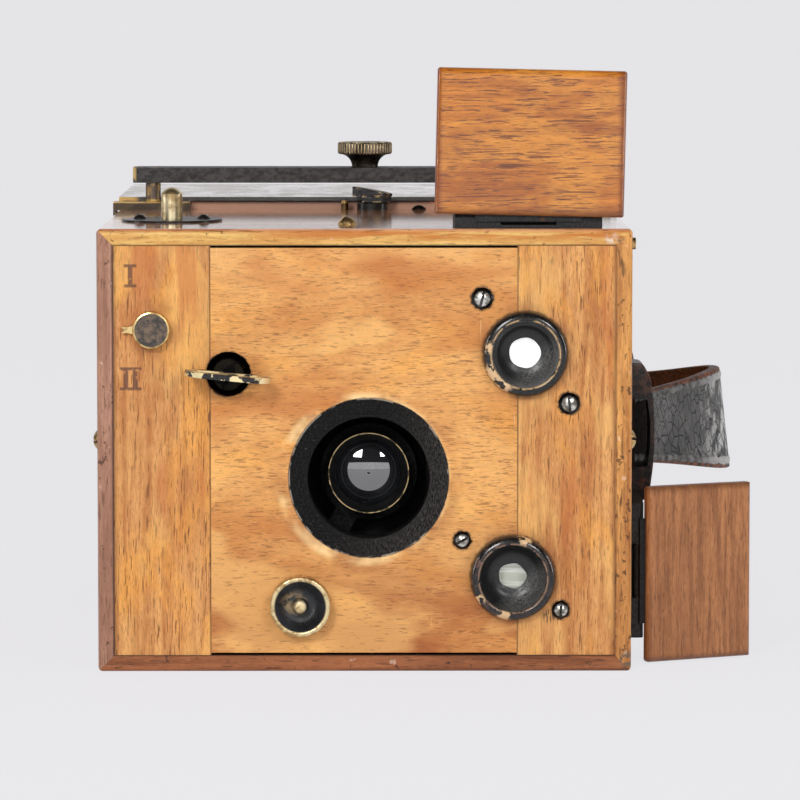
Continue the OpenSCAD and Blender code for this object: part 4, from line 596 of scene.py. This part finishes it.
f = wood("side_lid_walnut", (186, 126, 80), (142, 90, 56), "z", 18.0, rough=0.34,
         streak=(40, 620), pore=(190, 2900), figure=0.5, dusty=0.5, gloss=0.2)
f.lay((84, 50, 34), f.off("z", 27.4, 24.0, 26.8), 0.6)
dress(f, "side_finder_lid")

f = wood("rim_walnut", (110, 66, 40), (58, 34, 24), "x", 21.0)
f.lay((178, 100, 44), f.slip((160, 260, 260), 0.60, 0.68), 0.8)
f.lay((190, 146, 122), f.rise("z", 135.4, 134.2), 0.85)
dress(f, "magazine_rim")

dress(wood("blacked_wood", (30, 29, 28), (18, 17, 16), "x", 24.0, rough=0.7),
      "lens_board", "image_frame", "top_finder_box", "side_finder_box")
dress(wood("raw_wood", (198, 150, 104), (150, 104, 66), "z", 27.0, rough=0.6),
      "magazine_cheeks", "pressure_board")

# %% [markdown]
# ## Metals
#
# Brass was lacquered, and where hands or the weather took the lacquer it has gone brown.
# Iron and steel pieces are bright only where they rub. Each metal finish has a clean tone,
# a tarnished tone, patches between the two and a fine grain for the marks of the file.
# %% Metals
def metal(name, clean, tarnish, patch=180, rough=0.3, low=0.42, high=0.62, shine=1.0):
    """A metal finish: clean where a cloud of noise is low and tarnished where it is high."""
    f = Finish(name, rough, shine)
    cloud = f.noise(patch, 5, 0.6, 0.3)
    f.look = f.tones(f.fit(cloud, low, high), clean, tarnish)
    f.set(rough=f.fit(cloud, 0.3, 0.7, rough, rough + 0.25))
    f.relief(f.math("ADD", f.times(f.noise(1400, 2), 0.3), cloud), 0.00008, 0.3)
    return f


dress(metal("brass", (200, 168, 112), (120, 92, 58)), "tripod_bush", "spring_drum")
dress(metal("button_brass", (242, 226, 186), (180, 154, 110), rough=0.28), "release_button")
dress(metal("steel", (205, 205, 203), (120, 117, 112), rough=0.28),
      "steel_pins", "click_pawl", "release_latch")
dress(metal("spring_steel", (120, 124, 136), (78, 78, 84)),
      "mainspring", "latch_spring", "pressure_springs")

f = metal("brass_screw", (204, 172, 116), (122, 94, 60), 420)
# painted shade: the foot of the stop pin on the top, below 134.8 mm, is darkened
f.lay((60, 40, 28), f.rise("z", 135.2, 134.8), f.rise("y", 0, 2), f.rise("z", 130, 131), 0.85)
dress(f, "brass_screws")

f = metal("screw_steel", (226, 226, 222), (120, 112, 102), 420, 0.22)
# painted shade: the slots of the front screws, behind the face of their heads, are near black
f.lay((12, 11, 10), f.rise("y", FRONT - 0.7, FRONT - 0.4), f.rise("y", -100, -105), 0.95)
f.lay((52, 45, 38), f.most(f.rise("z", 132.5, 133.0), f.rise("x", 79.5, 80.0)), 0.85)
dress(f, "wood_screws")

f = metal("cover_metal", (232, 229, 224), (214, 209, 202), (90, 40, 40), 0.12, 0.30, 0.74)
edge = f.rise("y", 13.1, 12.7)
f.lay((24, 20, 18), edge, 0.92)
f.lay((196, 160, 96), edge, f.rise("x", -72.5, -75.0))
f.set(metal=f.rise("y", 12.7, 13.1, 0.3, 0.7))
dress(f, "magazine_cover")

f = metal("shoe_brass", (214, 178, 112), (150, 116, 66), rough=0.32)
f.lay((34, 28, 24), f.rise("z", 135.5, 135.2), 0.9)
f.lay((96, 84, 76), f.rise("z", 136.2, 136.6), f.slip((500, 500, 260), 0.3, 0.6))
f.set(metal=f.rise("z", 135.1, 135.4, 0.3, 0.7))
dress(f, "bridge_shoes")

# %% [markdown]
# ### Blackened pieces
#
# The bar across the top, the hinge frames, the escutcheon and the key were blackened. The
# black is thin: it has gone from the high places, and brass or grey metal looks through.
# %% Blackened pieces
f = metal("bar_black", (68, 65, 65), (44, 42, 42), (500, 800, 800), 0.42, 0.34, 0.66, 0.35)
ridges = f.most(f.rise("z", 145.9, 146.3), f.rise("z", 142.1, 141.85))
f.lay((206, 190, 150), ridges, f.off("y", 11.1, 7.2, 7.8),
      f.slip((120, 300, 300), 0.40, 0.52), 0.8)
f.lay((206, 172, 112), f.rise("x", -73.2, -74.4), f.slip(200, 0.30, 0.50))
dress(f, "bridge_bar")


def blacked(name, rough, bare, low, high, grain=330, seed=0.0, ground=(22, 21, 21),
            specular=0.3):
    """Black paint, gone where a noise is high; the finish keeps these bare places."""
    f = Finish(name, rough)
    dust = f.noise(1500, 3)
    f.bare = f.fit(f.noise(grain, 4, 0.6, shift=seed), low, high)
    f.look = f.tones(f.fit(dust, 0.35, 0.75), ground, [c + 26 for c in ground])
    f.lay(bare, f.bare)
    f.relief(f.less(f.times(dust, 0.2), f.bare), 0.00006, 0.5)
    f.set(specular=specular, metal=f.times(f.bare, 0.8))
    return f


dress(blacked("frame_black", 0.5, (84, 58, 44), 0.66, 0.74, seed=3.0),
      "top_finder_base", "side_finder_base", "top_lid_leaf", "side_lid_leaf")
dress(blacked("lacquer_black", 0.28, (88, 78, 66), 0.68, 0.74, seed=5.0),
      "button_escutcheon", "turn_base")
dress(blacked("inner_black", 0.6, (60, 52, 44), 0.74, 0.80, seed=7.0, ground=(5, 5, 5),
              specular=0.08),
      "lens_sleeve", "shutter_plate", "shutter_blade", "lens_stop", "focus_arm",
      "plate_sheaths")
dress(blacked("arbor_black", 0.5, (150, 128, 84), 0.64, 0.70, seed=2.0, ground=(8, 8, 8),
              specular=0.1), "winding_arbor")

# %% The ring, the key and the lens tube
f = blacked("ring_black", 0.5, (80, 76, 72), 0.62, 0.74, 900, 1.0, (4, 4, 4), 0.12)
face = f.rise("y", FRONT + 1.0, FRONT + 0.5)
brushed = f.fit(f.noise((3000, 3000, 900), 3, turn=(0, 62, 0)), 0.36, 0.70)
lean = f.less(f.axis("x"), f.times(f.axis("z"), 0.5))
f.lay((78, 74, 70), brushed, f.fit(lean, -36 * MM, -4 * MM, 0.0, 0.6), face)
brink = f.less(f.near(*LENS, 24.0, 24.2), f.near(*LENS, 23.5, 23.7))
f.lay((168, 156, 142), brink, f.slip(200, 0.48, 0.60, 2.0), face, 0.7)
dress(f, "lens_ring")

f = blacked("key_black", 0.3, (240, 222, 172), 0.46, 0.50, 210, 9.0)
aside = f.less(f.axis("x"), KEY_HOLE[0] * MM)
level = f.math("ADD", f.axis("z"), f.times(aside, 0.104))       # the bow hangs a little
off_bow = f.math("ABSOLUTE", f.less(level, KEY_HOLE[1] * MM))
pipe = f.most(f.rise("y", FRONT - 4.0, FRONT - 3.6), f.fit(off_bow, 1.7 * MM, 2.1 * MM))
f.lay((12, 11, 11), pipe, 0.99)
f.set(metal=f.times(f.bare, f.less(1.0, pipe), 0.45), rough=f.fit(pipe, 0.0, 1.0, 0.3, 0.75),
      specular=f.fit(pipe, 0.0, 1.0, 0.4, 0.05))
dress(f, "winding_key")

f = blacked("tube_black", 0.5, (60, 52, 44), 0.74, 0.80, seed=7.5, ground=(5, 5, 5),
            specular=0.1)
rim = f.times(f.near(*LENS, 12.2, 12.45), f.less(1.0, f.near(*LENS, 11.85, 12.05)),
              f.rise("y", -98.5, -99.5), f.fit(f.noise(420, 2), 0.38, 0.52, 0.15, 1.0))
f.lay((214, 188, 140), rim)
f.set(metal=rim)
dress(f, "lens_barrel")

# %% [markdown]
# ## Glass
#
# The lens is dark because the box behind it is dark; here the glass is opaque and its
# colour is painted shade for that box. What shows on it are mirror images of the lamps and
# of a white card. The finder lenses look pale, since daylight from the ground glass above
# comes to them over the mirrors inside; here they glow a little instead, as painted light.
# %% Glass
f = Finish("lens_glass", 0.04)
# painted shade: opaque dark glass for the dark box behind it
f.look = f.tones(f.fit(f.noise(120, 3), 0.3, 0.7), (16, 17, 20), (30, 31, 34))
f.set(ior=2.2, coat=1.0, coat_rough=0.02, coat_ior=1.9)
f.relief(f.noise(60, 1), 0.00002, 0.2)
dress(f, "lens_elements")

f = Finish("finder_glass", 0.15)
bands = f.fit(f.noise((40, 40, 900), 2), 0.40, 0.60)
# painted light: the lower finder lens glows grey green, the upper one, above 70 mm, white
lower_glow = f.tones(bands, (176, 178, 170), (148, 150, 140))
f.look = f.blend(f.rise("z", 60, 70), lower_glow, tone(252, 252, 252))
f.set(glow=f.look, glow_power=0.72)
dress(f, "finder_lenses")

f = Finish("ground_glass", 0.75)
frost = f.noise(2500, 2)
f.look = f.tones(f.fit(frost, 0.3, 0.7), (196, 204, 202), (222, 228, 226))
f.relief(frost, 0.00005, 0.4)
f.set(clear=0.3)
dress(f, "ground_glasses")

f = Finish("plate_glass", 0.1)
f.look = f.tones(f.slip(90, 0.4, 0.6), (204, 200, 178), (178, 176, 158))
dress(f, "glass_plates")

f = Finish("silvered", 0.05, 1.0)
f.look = f.tones(f.slip(200, 0.6, 0.7), (236, 236, 234), (170, 160, 140))
dress(f, "finder_mirrors")

# %% [markdown]
# ## The bezels
#
# Each finder looks through a bezel: a turned ring with a rounded shoulder, a thin lip and a
# bowl with a small hole in its floor. On the lathe this is one closed profile. The lip is
# where a thumb wipes dust out of the funnel, so its black has gone to a tan edge.
# %% The bezels
HOLE = 4.65
BEZEL = [(HOLE, -3.6), (HOLE, -2.0), (5.4, -1.8), (6.4, -1.4), (7.4, -0.8), (8.4, 0.2),
         (9.2, 1.6), (9.7, 3.0), (10.0, 4.0), (10.4, 4.4), (10.9, 4.45), (11.7, 4.2),
         (12.4, 3.5), (12.75, 2.4), (12.8, 1.2), (12.8, 0.15), (12.6, 0.0), (8.6, 0.0),
         (8.6, -5.0), (8.2, -5.2), (5.2, -5.2), (HOLE, -5.0)]
# the size of each hole and how much it waves
HOLES = {"upper": (1.0, 0.10), "lower": (0.86, 0.19)}
# chips are given as right of the middle, above it, and their reach
WEAR = {"upper": dict(seed=2.0, lip=(206, 172, 128), shoulder=(92, 74, 58),
                      funnel=(26, 26, 27), low=0.64, high=0.74,
                      chips=[(-9.4, -5.6, 4.4), (-6.6, -9.0, 3.4), (-10.4, 2.0, 2.4)]),
        "lower": dict(seed=6.0, lip=(150, 120, 100), shoulder=(104, 78, 72),
                      funnel=(20, 20, 21), low=0.48, high=0.64,
                      chips=[(-2.6, -11.4, 3.0), (3.6, 11.6, 2.6), (-10.0, -6.4, 2.2)])}


def bezel_finish(name, place, seed, lip, shoulder, funnel, low, high, chips):
    """Black with a worn lip, patches and chips on the shoulder, and a painted highlight on the
    lower right of the funnel.
    """
    f = Finish(name, 0.24)
    aside = f.less(f.axis("x"), place[0] * MM)
    above = f.less(f.axis("z"), place[1] * MM)
    dust = f.noise(1200, 3)
    patches = f.fit(f.noise(260, 6, 0.7, shift=seed), low, high)
    left = f.fit(f.less(above, aside), -8 * MM, 10 * MM, 0.25, 1.0)
    f.look = f.tones(f.fit(dust, 0.4, 0.7), (20, 19, 19), (42, 40, 39))
    f.lay(shoulder, f.mark("shoulder"), patches, left)
    f.lay(f.tones(f.fit(dust, 0.3, 0.8), funnel, (36, 36, 37)), f.mark("funnel"))
    # painted highlight: a pale sheen in fine streaks on the lower right of the funnel
    f.lay((132, 130, 127), f.mark("funnel"), f.slip(1900, 0.30, 0.66),
          f.fit(f.less(aside, above), 1 * MM, 9 * MM), 0.5)
    f.lay(lip, f.mark("lip"), f.fit(f.noise(420, 4), 0.40, 0.52))
    marks = [f.near(place[0] + a, place[1] + b, 0.4 * reach, reach) for a, b, reach in chips]
    f.lay((212, 178, 136), f.most(f.mark("shoulder"), f.mark("lip")),
          f.slip(420, 0.46, 0.52, seed), f.most(*marks))
    f.set(rough=f.fit(f.mark("funnel"), 0.0, 1.0, 0.2, 0.34))
    f.relief(dust, 0.00003, 0.2)
    return f


for name, (x, z) in BEZELS.items():
    size, wave = HOLES[name]
    profile = [(r * size if r == HOLE else r, h) for r, h in BEZEL]
    ring = turned(
        rounded(profile + [profile[0]], 0.25, 3)[:-1], (x, FRONT + 0.3, z), "front", 128,
        lambda a, r, h: np.where(r < 5.3, wave * (np.cos(2 * a + 0.6)
                                                  + 0.7 * np.cos(5 * a)), 0.0), True,
        lip=lambda r, h: np.exp(-((r - 10.3) / 0.24) ** 2) * (h > 3.4),
        funnel=lambda r, h: 1.0 * (r < 9.9), shoulder=lambda r, h: 1.0 * (r > 10.4))
    f = bezel_finish(f"{name}_bezel_black", (x, z), **WEAR[name])
    piece(f"{name}_bezel", ring, "case", f, (f"{name}_finder_bezel",))

# %% [markdown]
# ## Knurled heads
#
# A knurling wheel is a hard little roller that presses straight grooves into a turned rim,
# so that fingers can grip it. The groove is a cosine round the rim, between two heights.
# %% The thumbscrew
def knurl(count, depth, low, high):
    """Grooves: radius change = -depth (1 + cos(count a)) / 2 between two heights."""
    return lambda a, r, h: np.where((h > low) & (h < high) & (r > 1),
                                    -depth * (0.5 + 0.5 * np.cos(count * a)), 0.0)


THUMB = (0, 15, 146.65)      # the foot of the thumbscrew's neck
NECK_R, NECK_CURVE = 4.2, 4.1

neck = [(NECK_R + NECK_CURVE * (1 - math.cos(t)), NECK_CURVE * math.sin(t))
        for t in np.linspace(0, math.pi / 2, 12)]
head = [(0, -4.8), (2.4, -4.8), (2.4, -0.02), (2.41, 0), *neck,
        (8.5, 4.2), (8.8, 4.6), (8.8, 7.5), (8.4, 7.9), (7.9, 8.0), (0, 8.0)]
f = metal("thumb_bronze", (112, 102, 88), (48, 43, 38), 300, 0.36, 0.42, 0.6)
f.lay((220, 200, 152), f.mark("worn"), f.slip(500, 0.42, 0.58))
crests = f.fit(f.gap(*THUMB[:2], None), 8.55 * MM, 8.75 * MM)
f.lay((212, 188, 148), crests, 0.7)
piece("thumbscrew_head", turned(head, THUMB, "top", 288, knurl(50, 0.42, 4.3, 7.8),
                                worn=lambda r, h: 1.0 * (h > 7.6) * (r > 7.5)),
      "clamp_screw", f, ("thumbscrew",), smooth=60)

# %% The focusing knob
knob = [(0, 0), (8.6, 0), (9.1, 0.5), (9.1, 5.0), (8.9, 5.4), (8.5, 5.6), (7.9, 5.6),
        (7.5, 5.3), (6.6, 4.2), (5.2, 3.0), (4.0, 2.6), (2.6, 2.6), (2.4, 2.9), (2.4, 4.9),
        (2.0, 5.4), (1.2, 5.6), (0, 5.65)]
at = (KNOB[0], FRONT + 0.1, KNOB[1])
f = metal("knob_metal", (234, 214, 168), (176, 146, 100), 400)
dish = f.mark("dish")
paint = f.tones(f.fit(f.noise(160, 4, shift=2), 0.35, 0.7), (20, 21, 23), (44, 45, 49))
f.lay(paint, dish)
f.lay((190, 160, 112), dish, f.near(-21.2, 21.0, 0.5, 5.0), f.slip(500, 0.40, 0.62), 0.7)
f.set(metal=f.less(1.0, dish))
shell = join(turned(knob, at, "front", 320, knurl(72, 0.22, 0.4, 5.2),
                    dish=lambda r, h: 1.0 * (r < 7.7) * ((r > 1.3) | (h < 5.0))),
             rod(at, "front", 2.0, -35.6, 0.1))
piece("focus_knob_dish", shell, "focus_screw", f, ("focus_knob",), smooth=60)

# %% [markdown]
# ## The selector
#
# A brass disc with a pointer sits between two numerals that are pressed into the wood. Its
# face is blackened, its rim bare. Behind the board a small cam turns with it.
# %% The selector
f = metal("selector_metal", (232, 206, 146), (176, 144, 92), 400, 0.28)
face = f.mark("face")
blacking = f.fit(f.noise(430, 6, 0.7, shift=5), 0.38, 0.62)
f.lay(f.tones(blacking, (46, 44, 42), (112, 92, 74)), face)
f.set(metal=f.less(1.0, face), rough=f.fit(face, 0.0, 1.0, 0.28, 0.5))

at = (SELECTOR[0], FRONT + 0.1, SELECTOR[1])
disc = turned([(0, 0), (5.3, 0), (5.6, 0.3), (5.6, 2.9), (5.4, 3.3), (5.0, 3.4), (4.9, 3.3),
               (0, 3.3)], at, "front", 128, face=lambda r, h: 1.0 * (r < 4.95) * (h > 3.2))
pointer = slab([(-4.8, 1.5), (-7.2, 1.0), (-8.7, 1.15), (-8.9, 0.9), (-8.3, 0.0),
                (-8.9, -0.9), (-8.7, -1.15), (-7.2, -1.0), (-4.8, -1.5)],
               0.0, 1.5, 0.2, at, "front")
cam = slab([(-1.5, 2.2), (1.5, 2.2), (2.9, 0.6), (1.5, -3.0), (1.5, -9.0), (-1.5, -9.0),
            (-1.5, -3.0), (-2.9, 0.6)], -8.5, -6.5, 0.15, at, "front")
piece("selector_disc", join(disc, pointer, cam, rod(at, "front", 1.5, -8.5, 0.2)),
      "speed_selector", f, ("selector",))

# %% [markdown]
# ## The turn button
#
# This black button on the top turns its nose over the cover's edge and keeps it shut. Its
# upper face slopes, since the thumb pushes it at its high end.
# %% The turn button
TURN, TURN_REST = (2.4, 7, 0), -8      # its pivot, and its angle at rest in degrees

f = blacked("turn_black", 0.34, (70, 66, 62), 0.66, 0.72, seed=11.0)
f.lay((196, 168, 116), f.mark("worn"), f.slip(350, 0.50, 0.60), 0.8)
plan = stepped([(-6.5, 0), (-4.1, 3.8), (4.1, 3.8), (6.5, 0), (4.1, -3.8), (-4.1, -3.8)])
foot = stepped([(-2.8, 3.6), (3.9, 3.6), (6.1, 0), (3.9, -3.6), (-2.8, -3.6)])
button = join(slab(plan, 137.3, lambda p: 139.4 - 0.17 * p[:, 0], 0.25, TURN, "top", TURN_REST),
              slab(foot, 135.4, 137.5, 0.2, TURN, "top", TURN_REST),
              rod(TURN, "top", 1.5, 130.3, 135.6))
piece("turn_nose", button, "cover_lock", f, ("turn_button",))

# %% [markdown]
# ## The handle
#
# The handle is a strap of thick leather, wide in the middle for the hand. It is stitched
# along both edges, and its ends lie in two leather keepers. On the camera it can slip in
# them, so that it lies flat against the box and bows out when it is lifted; here it is
# drawn bowed out. The strap follows a bell curve; its width follows the third power of a
# cosine.
# %% The strap
STRAP_Z, STRAP_THICK = 66.6, 3.4      # height of the strap's middle, and its thickness
BOW_END, SWELL_END = 43.0, 51.0       # where the bow and the widening end


def bell(y, end, power):
    """cos(90 degrees times y / end) to a power, and 0 beyond the end."""
    inside = np.abs(np.cos(np.pi / 2 * np.clip(y / end, -1, 1))) ** power
    return np.where(np.abs(y) >= end, 0.0, inside)


def run_along(line):
    """How far each point of a line lies from its start, along the line."""
    return np.concatenate([[0], np.cumsum(np.linalg.norm(np.diff(line, axis=0), axis=1))])


def strap_line(y):
    """Inner face x, half width and bow of the strap at y, in mm.

    x = 80.3 + 32.3 cos(90 y / 43)^1.5 and half width = 10.7 + 5.7 cos(90 y / 51)^3, with
    a flare of 0.4 inside the keepers.
    """
    bow = bell(y, BOW_END, 1.5)
    flare = 0.4 * np.clip((np.abs(y) - BOW_END) / 4.0, 0, 1)
    return 80.3 + 32.3 * bow, 10.7 + 5.7 * bell(y, SWELL_END, 3) + flare, bow


def on_strap(y, across, lift):
    """Points on the strap: y along it, across from -1 to 1, lift off its inner face."""
    x, half, bow = strap_line(y)
    step = 0.01
    slope = (strap_line(y + step)[0] - strap_line(y - step)[0]) / (2 * step)
    length = np.sqrt(1 + slope ** 2)
    up = half * across
    lean = -0.11 * up * bow * np.clip((x - 84.0) / 10.0, 0, 1)
    return np.stack([x + lean + lift / length, y - lift * slope / length, STRAP_Z + up], -1)


def strap_shell(flat_to=0.965, count=25, turns=5):
    """A band whose cross-section is a flat bar with round edges, row after row."""
    y = np.linspace(-62, 62, 141)[:, None]
    flat = np.linspace(-flat_to, flat_to, count)
    bend = np.radians(np.linspace(-90, 90, turns + 2)[1:-1])
    out, turn = flat_to + (1 - flat_to) * np.cos(bend), 0.5 * np.sin(bend)
    across = np.concatenate([flat, out, flat[::-1], -out])[None, :]
    lift = np.concatenate([np.ones(count), 0.5 - turn, np.zeros(count), 0.5 + turn])[None, :]
    sides = [count, turns, count, turns]
    return skin(on_strap(y, across, STRAP_THICK * lift),
                edge=np.repeat([0, 1, 0, 1], sides)[None, :] + 0 * y,
                inside=np.repeat([0, 0, 1, 0], sides)[None, :] + 0 * y,
                across=np.abs(across) * (lift > 0.9) + 0 * y)


# %% The strap's leather
LEATHER_DARK = (22, 15, 12)           # in the keepers the light does not reach it

f = Finish("strap_leather")
bent = f.blend(0.10, f.map((460, 460, 240), shift=3), f.noise(260, 4), "ADD")
cloud = f.noise((90, 90, 60), 5, 0.6)
coarse = f.times(f.fit(f.cells(bent), 0.06, 0.01), f.slip((300, 300, 140), 0.32, 0.46, 8.0))
fine = f.fit(f.cells(f.map((1000, 1000, 620))), 0.10, 0.03)
crack = f.most(coarse, f.times(fine, f.fit(cloud, 0.4, 0.6), 0.5))
f.look = f.tones(f.fit(cloud, 0.32, 0.66), (58, 57, 56), (112, 111, 110))
# the outer fold of the bow, x 104 to 117 mm, near white: worn leather and a painted highlight
f.lay((222, 222, 220), f.rise("x", 104, 117), f.slip((420, 420, 200), 0.42, 0.60, 2.0), 0.85)
f.lay((20, 18, 17), crack, 0.9)
suede = f.tones(f.fit(f.noise(900, 4), 0.3, 0.7), (46, 26, 14), (104, 62, 38))
rust = f.tones(f.slip((500, 500, 200), 0.35, 0.6), (136, 78, 46), (64, 40, 28))
raw = f.most(f.mark("edge"), f.fit(f.mark("across"), 0.90, 0.94))
f.lay(suede, f.mark("inside"))
f.lay(rust, raw)
shade = f.rise("x", 92.0, 89.5)
f.lay(LEATHER_DARK, shade, 0.93)
f.set(rough=f.fit(cloud, 0.3, 0.7, 0.42, 0.56), specular=f.fit(shade, 0.0, 1.0, 0.5, 0.02))
f.relief(f.less(cloud, crack), 0.0005, 0.6)
piece("strap", strap_shell(), "case", f, ("handle_strap",), smooth=60)

# %% [markdown]
# ### Stitches
#
# The thread runs two millimetres inside each edge, and between its holes the leather has
# swollen to small beads. Each bead is an egg shape laid along the edge, half sunk in it.
# %% The stitched beads
def beads(pitch=3.1, half=1.95, row=0.84):
    """Egg shapes along both edges of the strap's outer face.

    Point = place + half cos(t) ahead + sin(t) (1.35 cos(p) aside + 0.5 sin(p) outwards).
    """
    y = np.linspace(-60, 60, 1201)
    run = run_along(on_strap(y, row, STRAP_THICK))
    places = np.interp(np.arange(pitch / 2, run[-1], pitch), run, y)
    t = np.linspace(0.12, np.pi - 0.12, 7)[:, None, None]
    p = np.linspace(0, 2 * np.pi, 10, endpoint=False)[None, :, None]
    aside = np.array([0.0, 0.0, 1.0])
    out = []
    for sign in (-1, 1):
        for place in places:
            ends = on_strap(place + np.array([-0.05, 0.05]), row * sign, STRAP_THICK - 0.15)
            ahead = (ends[1] - ends[0]) / np.linalg.norm(ends[1] - ends[0])
            side = 1.35 * np.cos(p) * aside + 0.5 * np.sin(p) * np.cross(ahead, aside)
            out.append(skin(ends.mean(0) + half * np.cos(t) * ahead + np.sin(t) * side))
    return join(*out)


f = Finish("bead_leather")
cloud = f.noise(500, 4)
f.look = f.tones(f.fit(cloud, 0.35, 0.65), (118, 117, 115), (62, 59, 56))
# beads paler towards the outer fold: worn leather and a painted highlight
f.lay((200, 199, 197), f.rise("x", 104, 117, 0.0, 0.8))
f.lay(LEATHER_DARK, f.rise("x", 92.0, 89.5))
f.relief(cloud, 0.0002, 0.5)
piece("strap_beads", beads(), "case", f, smooth=80)

# %% [markdown]
# ### Keepers
#
# A keeper is a strip of hard black leather, wetted and pressed over a block, so that it
# makes a flat-topped arch. A screw holds each of its two tongues.
# %% The keepers
KEEPER_ARCH = [(1.4, 27.0), (1.4, 22.4), (2.2, 21.9), (6.2, 21.9), (8.7, 17.5), (9.65, 10.1),
               (10.1, 4.4)]           # how far it stands off the box, and its height
WINDOW = 10.7                         # half the height of the opening for the strap


def keeper(y0, width=16.0, thick=1.5, rim=0.5):
    """An arch over the strap: rows along its outline, columns round its cross-section."""
    lower = [(x, -z) for x, z in reversed(KEEPER_ARCH)]
    line = rounded(np.array(KEEPER_ARCH + lower), 1.6, 6)
    run = run_along(line)
    s = np.linspace(0, run[-1], 150)
    x, z = np.interp(s, run, line[:, 0]), np.interp(s, run, line[:, 1])
    arch = np.maximum(x - thick - 0.06 * np.clip(np.abs(z) - 4, 0, 10), 3.7)
    inner = np.where(np.abs(z) > WINDOW, 0.05, arch)
    w, third = width / 2, 0.3 * rim
    side = [(inner, -w), (x - rim, -w), (x - third, third - w), (x, rim - w)]
    columns = side + [(x, 0)] + [(a, -b) for a, b in side[::-1]]
    grid = np.stack([np.stack([80 + a, y0 + b + 0 * z, STRAP_Z + z], -1) for a, b in columns],
                    axis=1)
    worn = np.array([0, 0.6, 1, 0.7, 0, 0.7, 1, 0.6, 0])[None, :] + 0 * z[:, None]
    return skin(grid, worn=worn)


f = blacked("keeper_leather", 0.4, (66, 42, 30), 0.60, 0.70, 300, 13.0, (14, 11, 10))
f.lay((104, 66, 48), f.mark("worn"), f.slip(420, 0.46, 0.62), 0.8)
piece("keepers", join(keeper(-51), keeper(51)), "case", f,
      ("handle_keepers",), smooth=50)

# %% [markdown]
# ## Floor and light
#
# The camera stands on a pale sweep of paper that curves up behind it and keeps a faint
# shadow under the box. A white card behind the eye shows in the flat glass of the lens.
# %% The sweep of paper and the card
def backdrop(name, x, y, z, finish):
    """A sheet of the studio through a grid of points in mm, which is no part of the camera."""
    grid = np.stack(np.broadcast_arrays(x, y, z), -1)
    shaped(name, skin(grid, ring=False, shut=False), finish)


def sweep(edge=2600.0, r=800.0, end=5000.0):
    """A sheet that is flat, turns up in a quarter circle of radius r and goes on upright."""
    flat = np.linspace(-end, edge, 16)
    turn = np.radians(np.linspace(0, 90, 13)[1:])
    y = np.concatenate([flat, edge + r * np.sin(turn), np.full(5, edge + r)])
    z = np.concatenate([0 * flat, r - r * np.cos(turn), np.linspace(r + 200, end, 5)])
    return np.linspace(-end, end, 11)[None, :], y[:, None], z[:, None]


f = Finish("paper", 0.9)
f.look = f.tones(f.fit(f.noise(300, 3), 0.3, 0.7), (236, 235, 238), (240, 239, 242))
rays = f.nodes.new("ShaderNodeLightPath").outputs
seen = f.most(rays["Is Camera Ray"], rays["Is Glossy Ray"], rays["Is Transmission Ray"])
glow = f.node("Emission", 0, {0: tone(235, 234, 237)})
paper = f.node("MixShader", 0, {0: f.times(seen, 0.89), 1: f.shader.outputs[0], 2: glow})
f.links.new(paper, f.nodes["Material Output"].inputs[0])
backdrop("paper_sweep", *sweep(), f)

f = Finish("card_white", 0.9)
f.look = f.tones(f.fit(f.noise(6, 2), 0.3, 0.7), (232, 232, 234), (250, 250, 250))
f.set(glow=f.look, glow_power=0.9)
backdrop("white_card", np.linspace(-1500, 1500, 9), -2300.0,
         np.linspace(25, 460, 5)[:, None], f)

# %% [markdown]
# ### The light
#
# Two soft lamps, a large one at the upper left and a smaller one at the upper right, give
# the two bright spots on the lens. A tall narrow lamp on each side draws a line of light
# along rounded edges. The room is pale, but shiny pieces mirror it nearly black.
# %% The light
bpy.context.scene.view_settings.view_transform = "Standard"
world = bpy.data.worlds.new("room")
bpy.context.scene.world = world
world.use_nodes = True
room = world.node_tree
background = room.nodes["Background"]
background.inputs[0].default_value = (1.0, 0.99, 0.98, 1.0)
strength = room.nodes.new("ShaderNodeMapRange")
glossy = room.nodes.new("ShaderNodeLightPath").outputs["Is Glossy Ray"]
room.links.new(glossy, strength.inputs["Value"])
strength.inputs["To Min"].default_value = 0.42
strength.inputs["To Max"].default_value = 0.03
room.links.new(strength.outputs[0], background.inputs[1])


def lamp(name, place, width, power, height=None, target=(0, -0.1, 0.07)):
    """A lamp that looks at a point: a square one, or a strip where it has a height."""
    data = bpy.data.lights.new(name, "AREA")
    data.energy = power
    data.size = width
    if height:
        data.shape = "RECTANGLE"
        data.size_y = height
    obj = added(name, data)
    obj.location = place
    obj.rotation_euler = (Vector(target) - Vector(place)).to_track_quat("-Z", "Y").to_euler()
    print(name, power, "watts")


lamp("key", (-0.46, -1.45, 0.72), 0.34, 10.0)
lamp("fill", (0.62, -1.40, 0.70), 0.26, 5.4)
lamp("left_strip", (-1.25, -0.12, 0.36), 0.05, 2.4, height=0.62)
lamp("right_strip", (1.25, -0.12, 0.36), 0.05, 2.4, height=0.62)
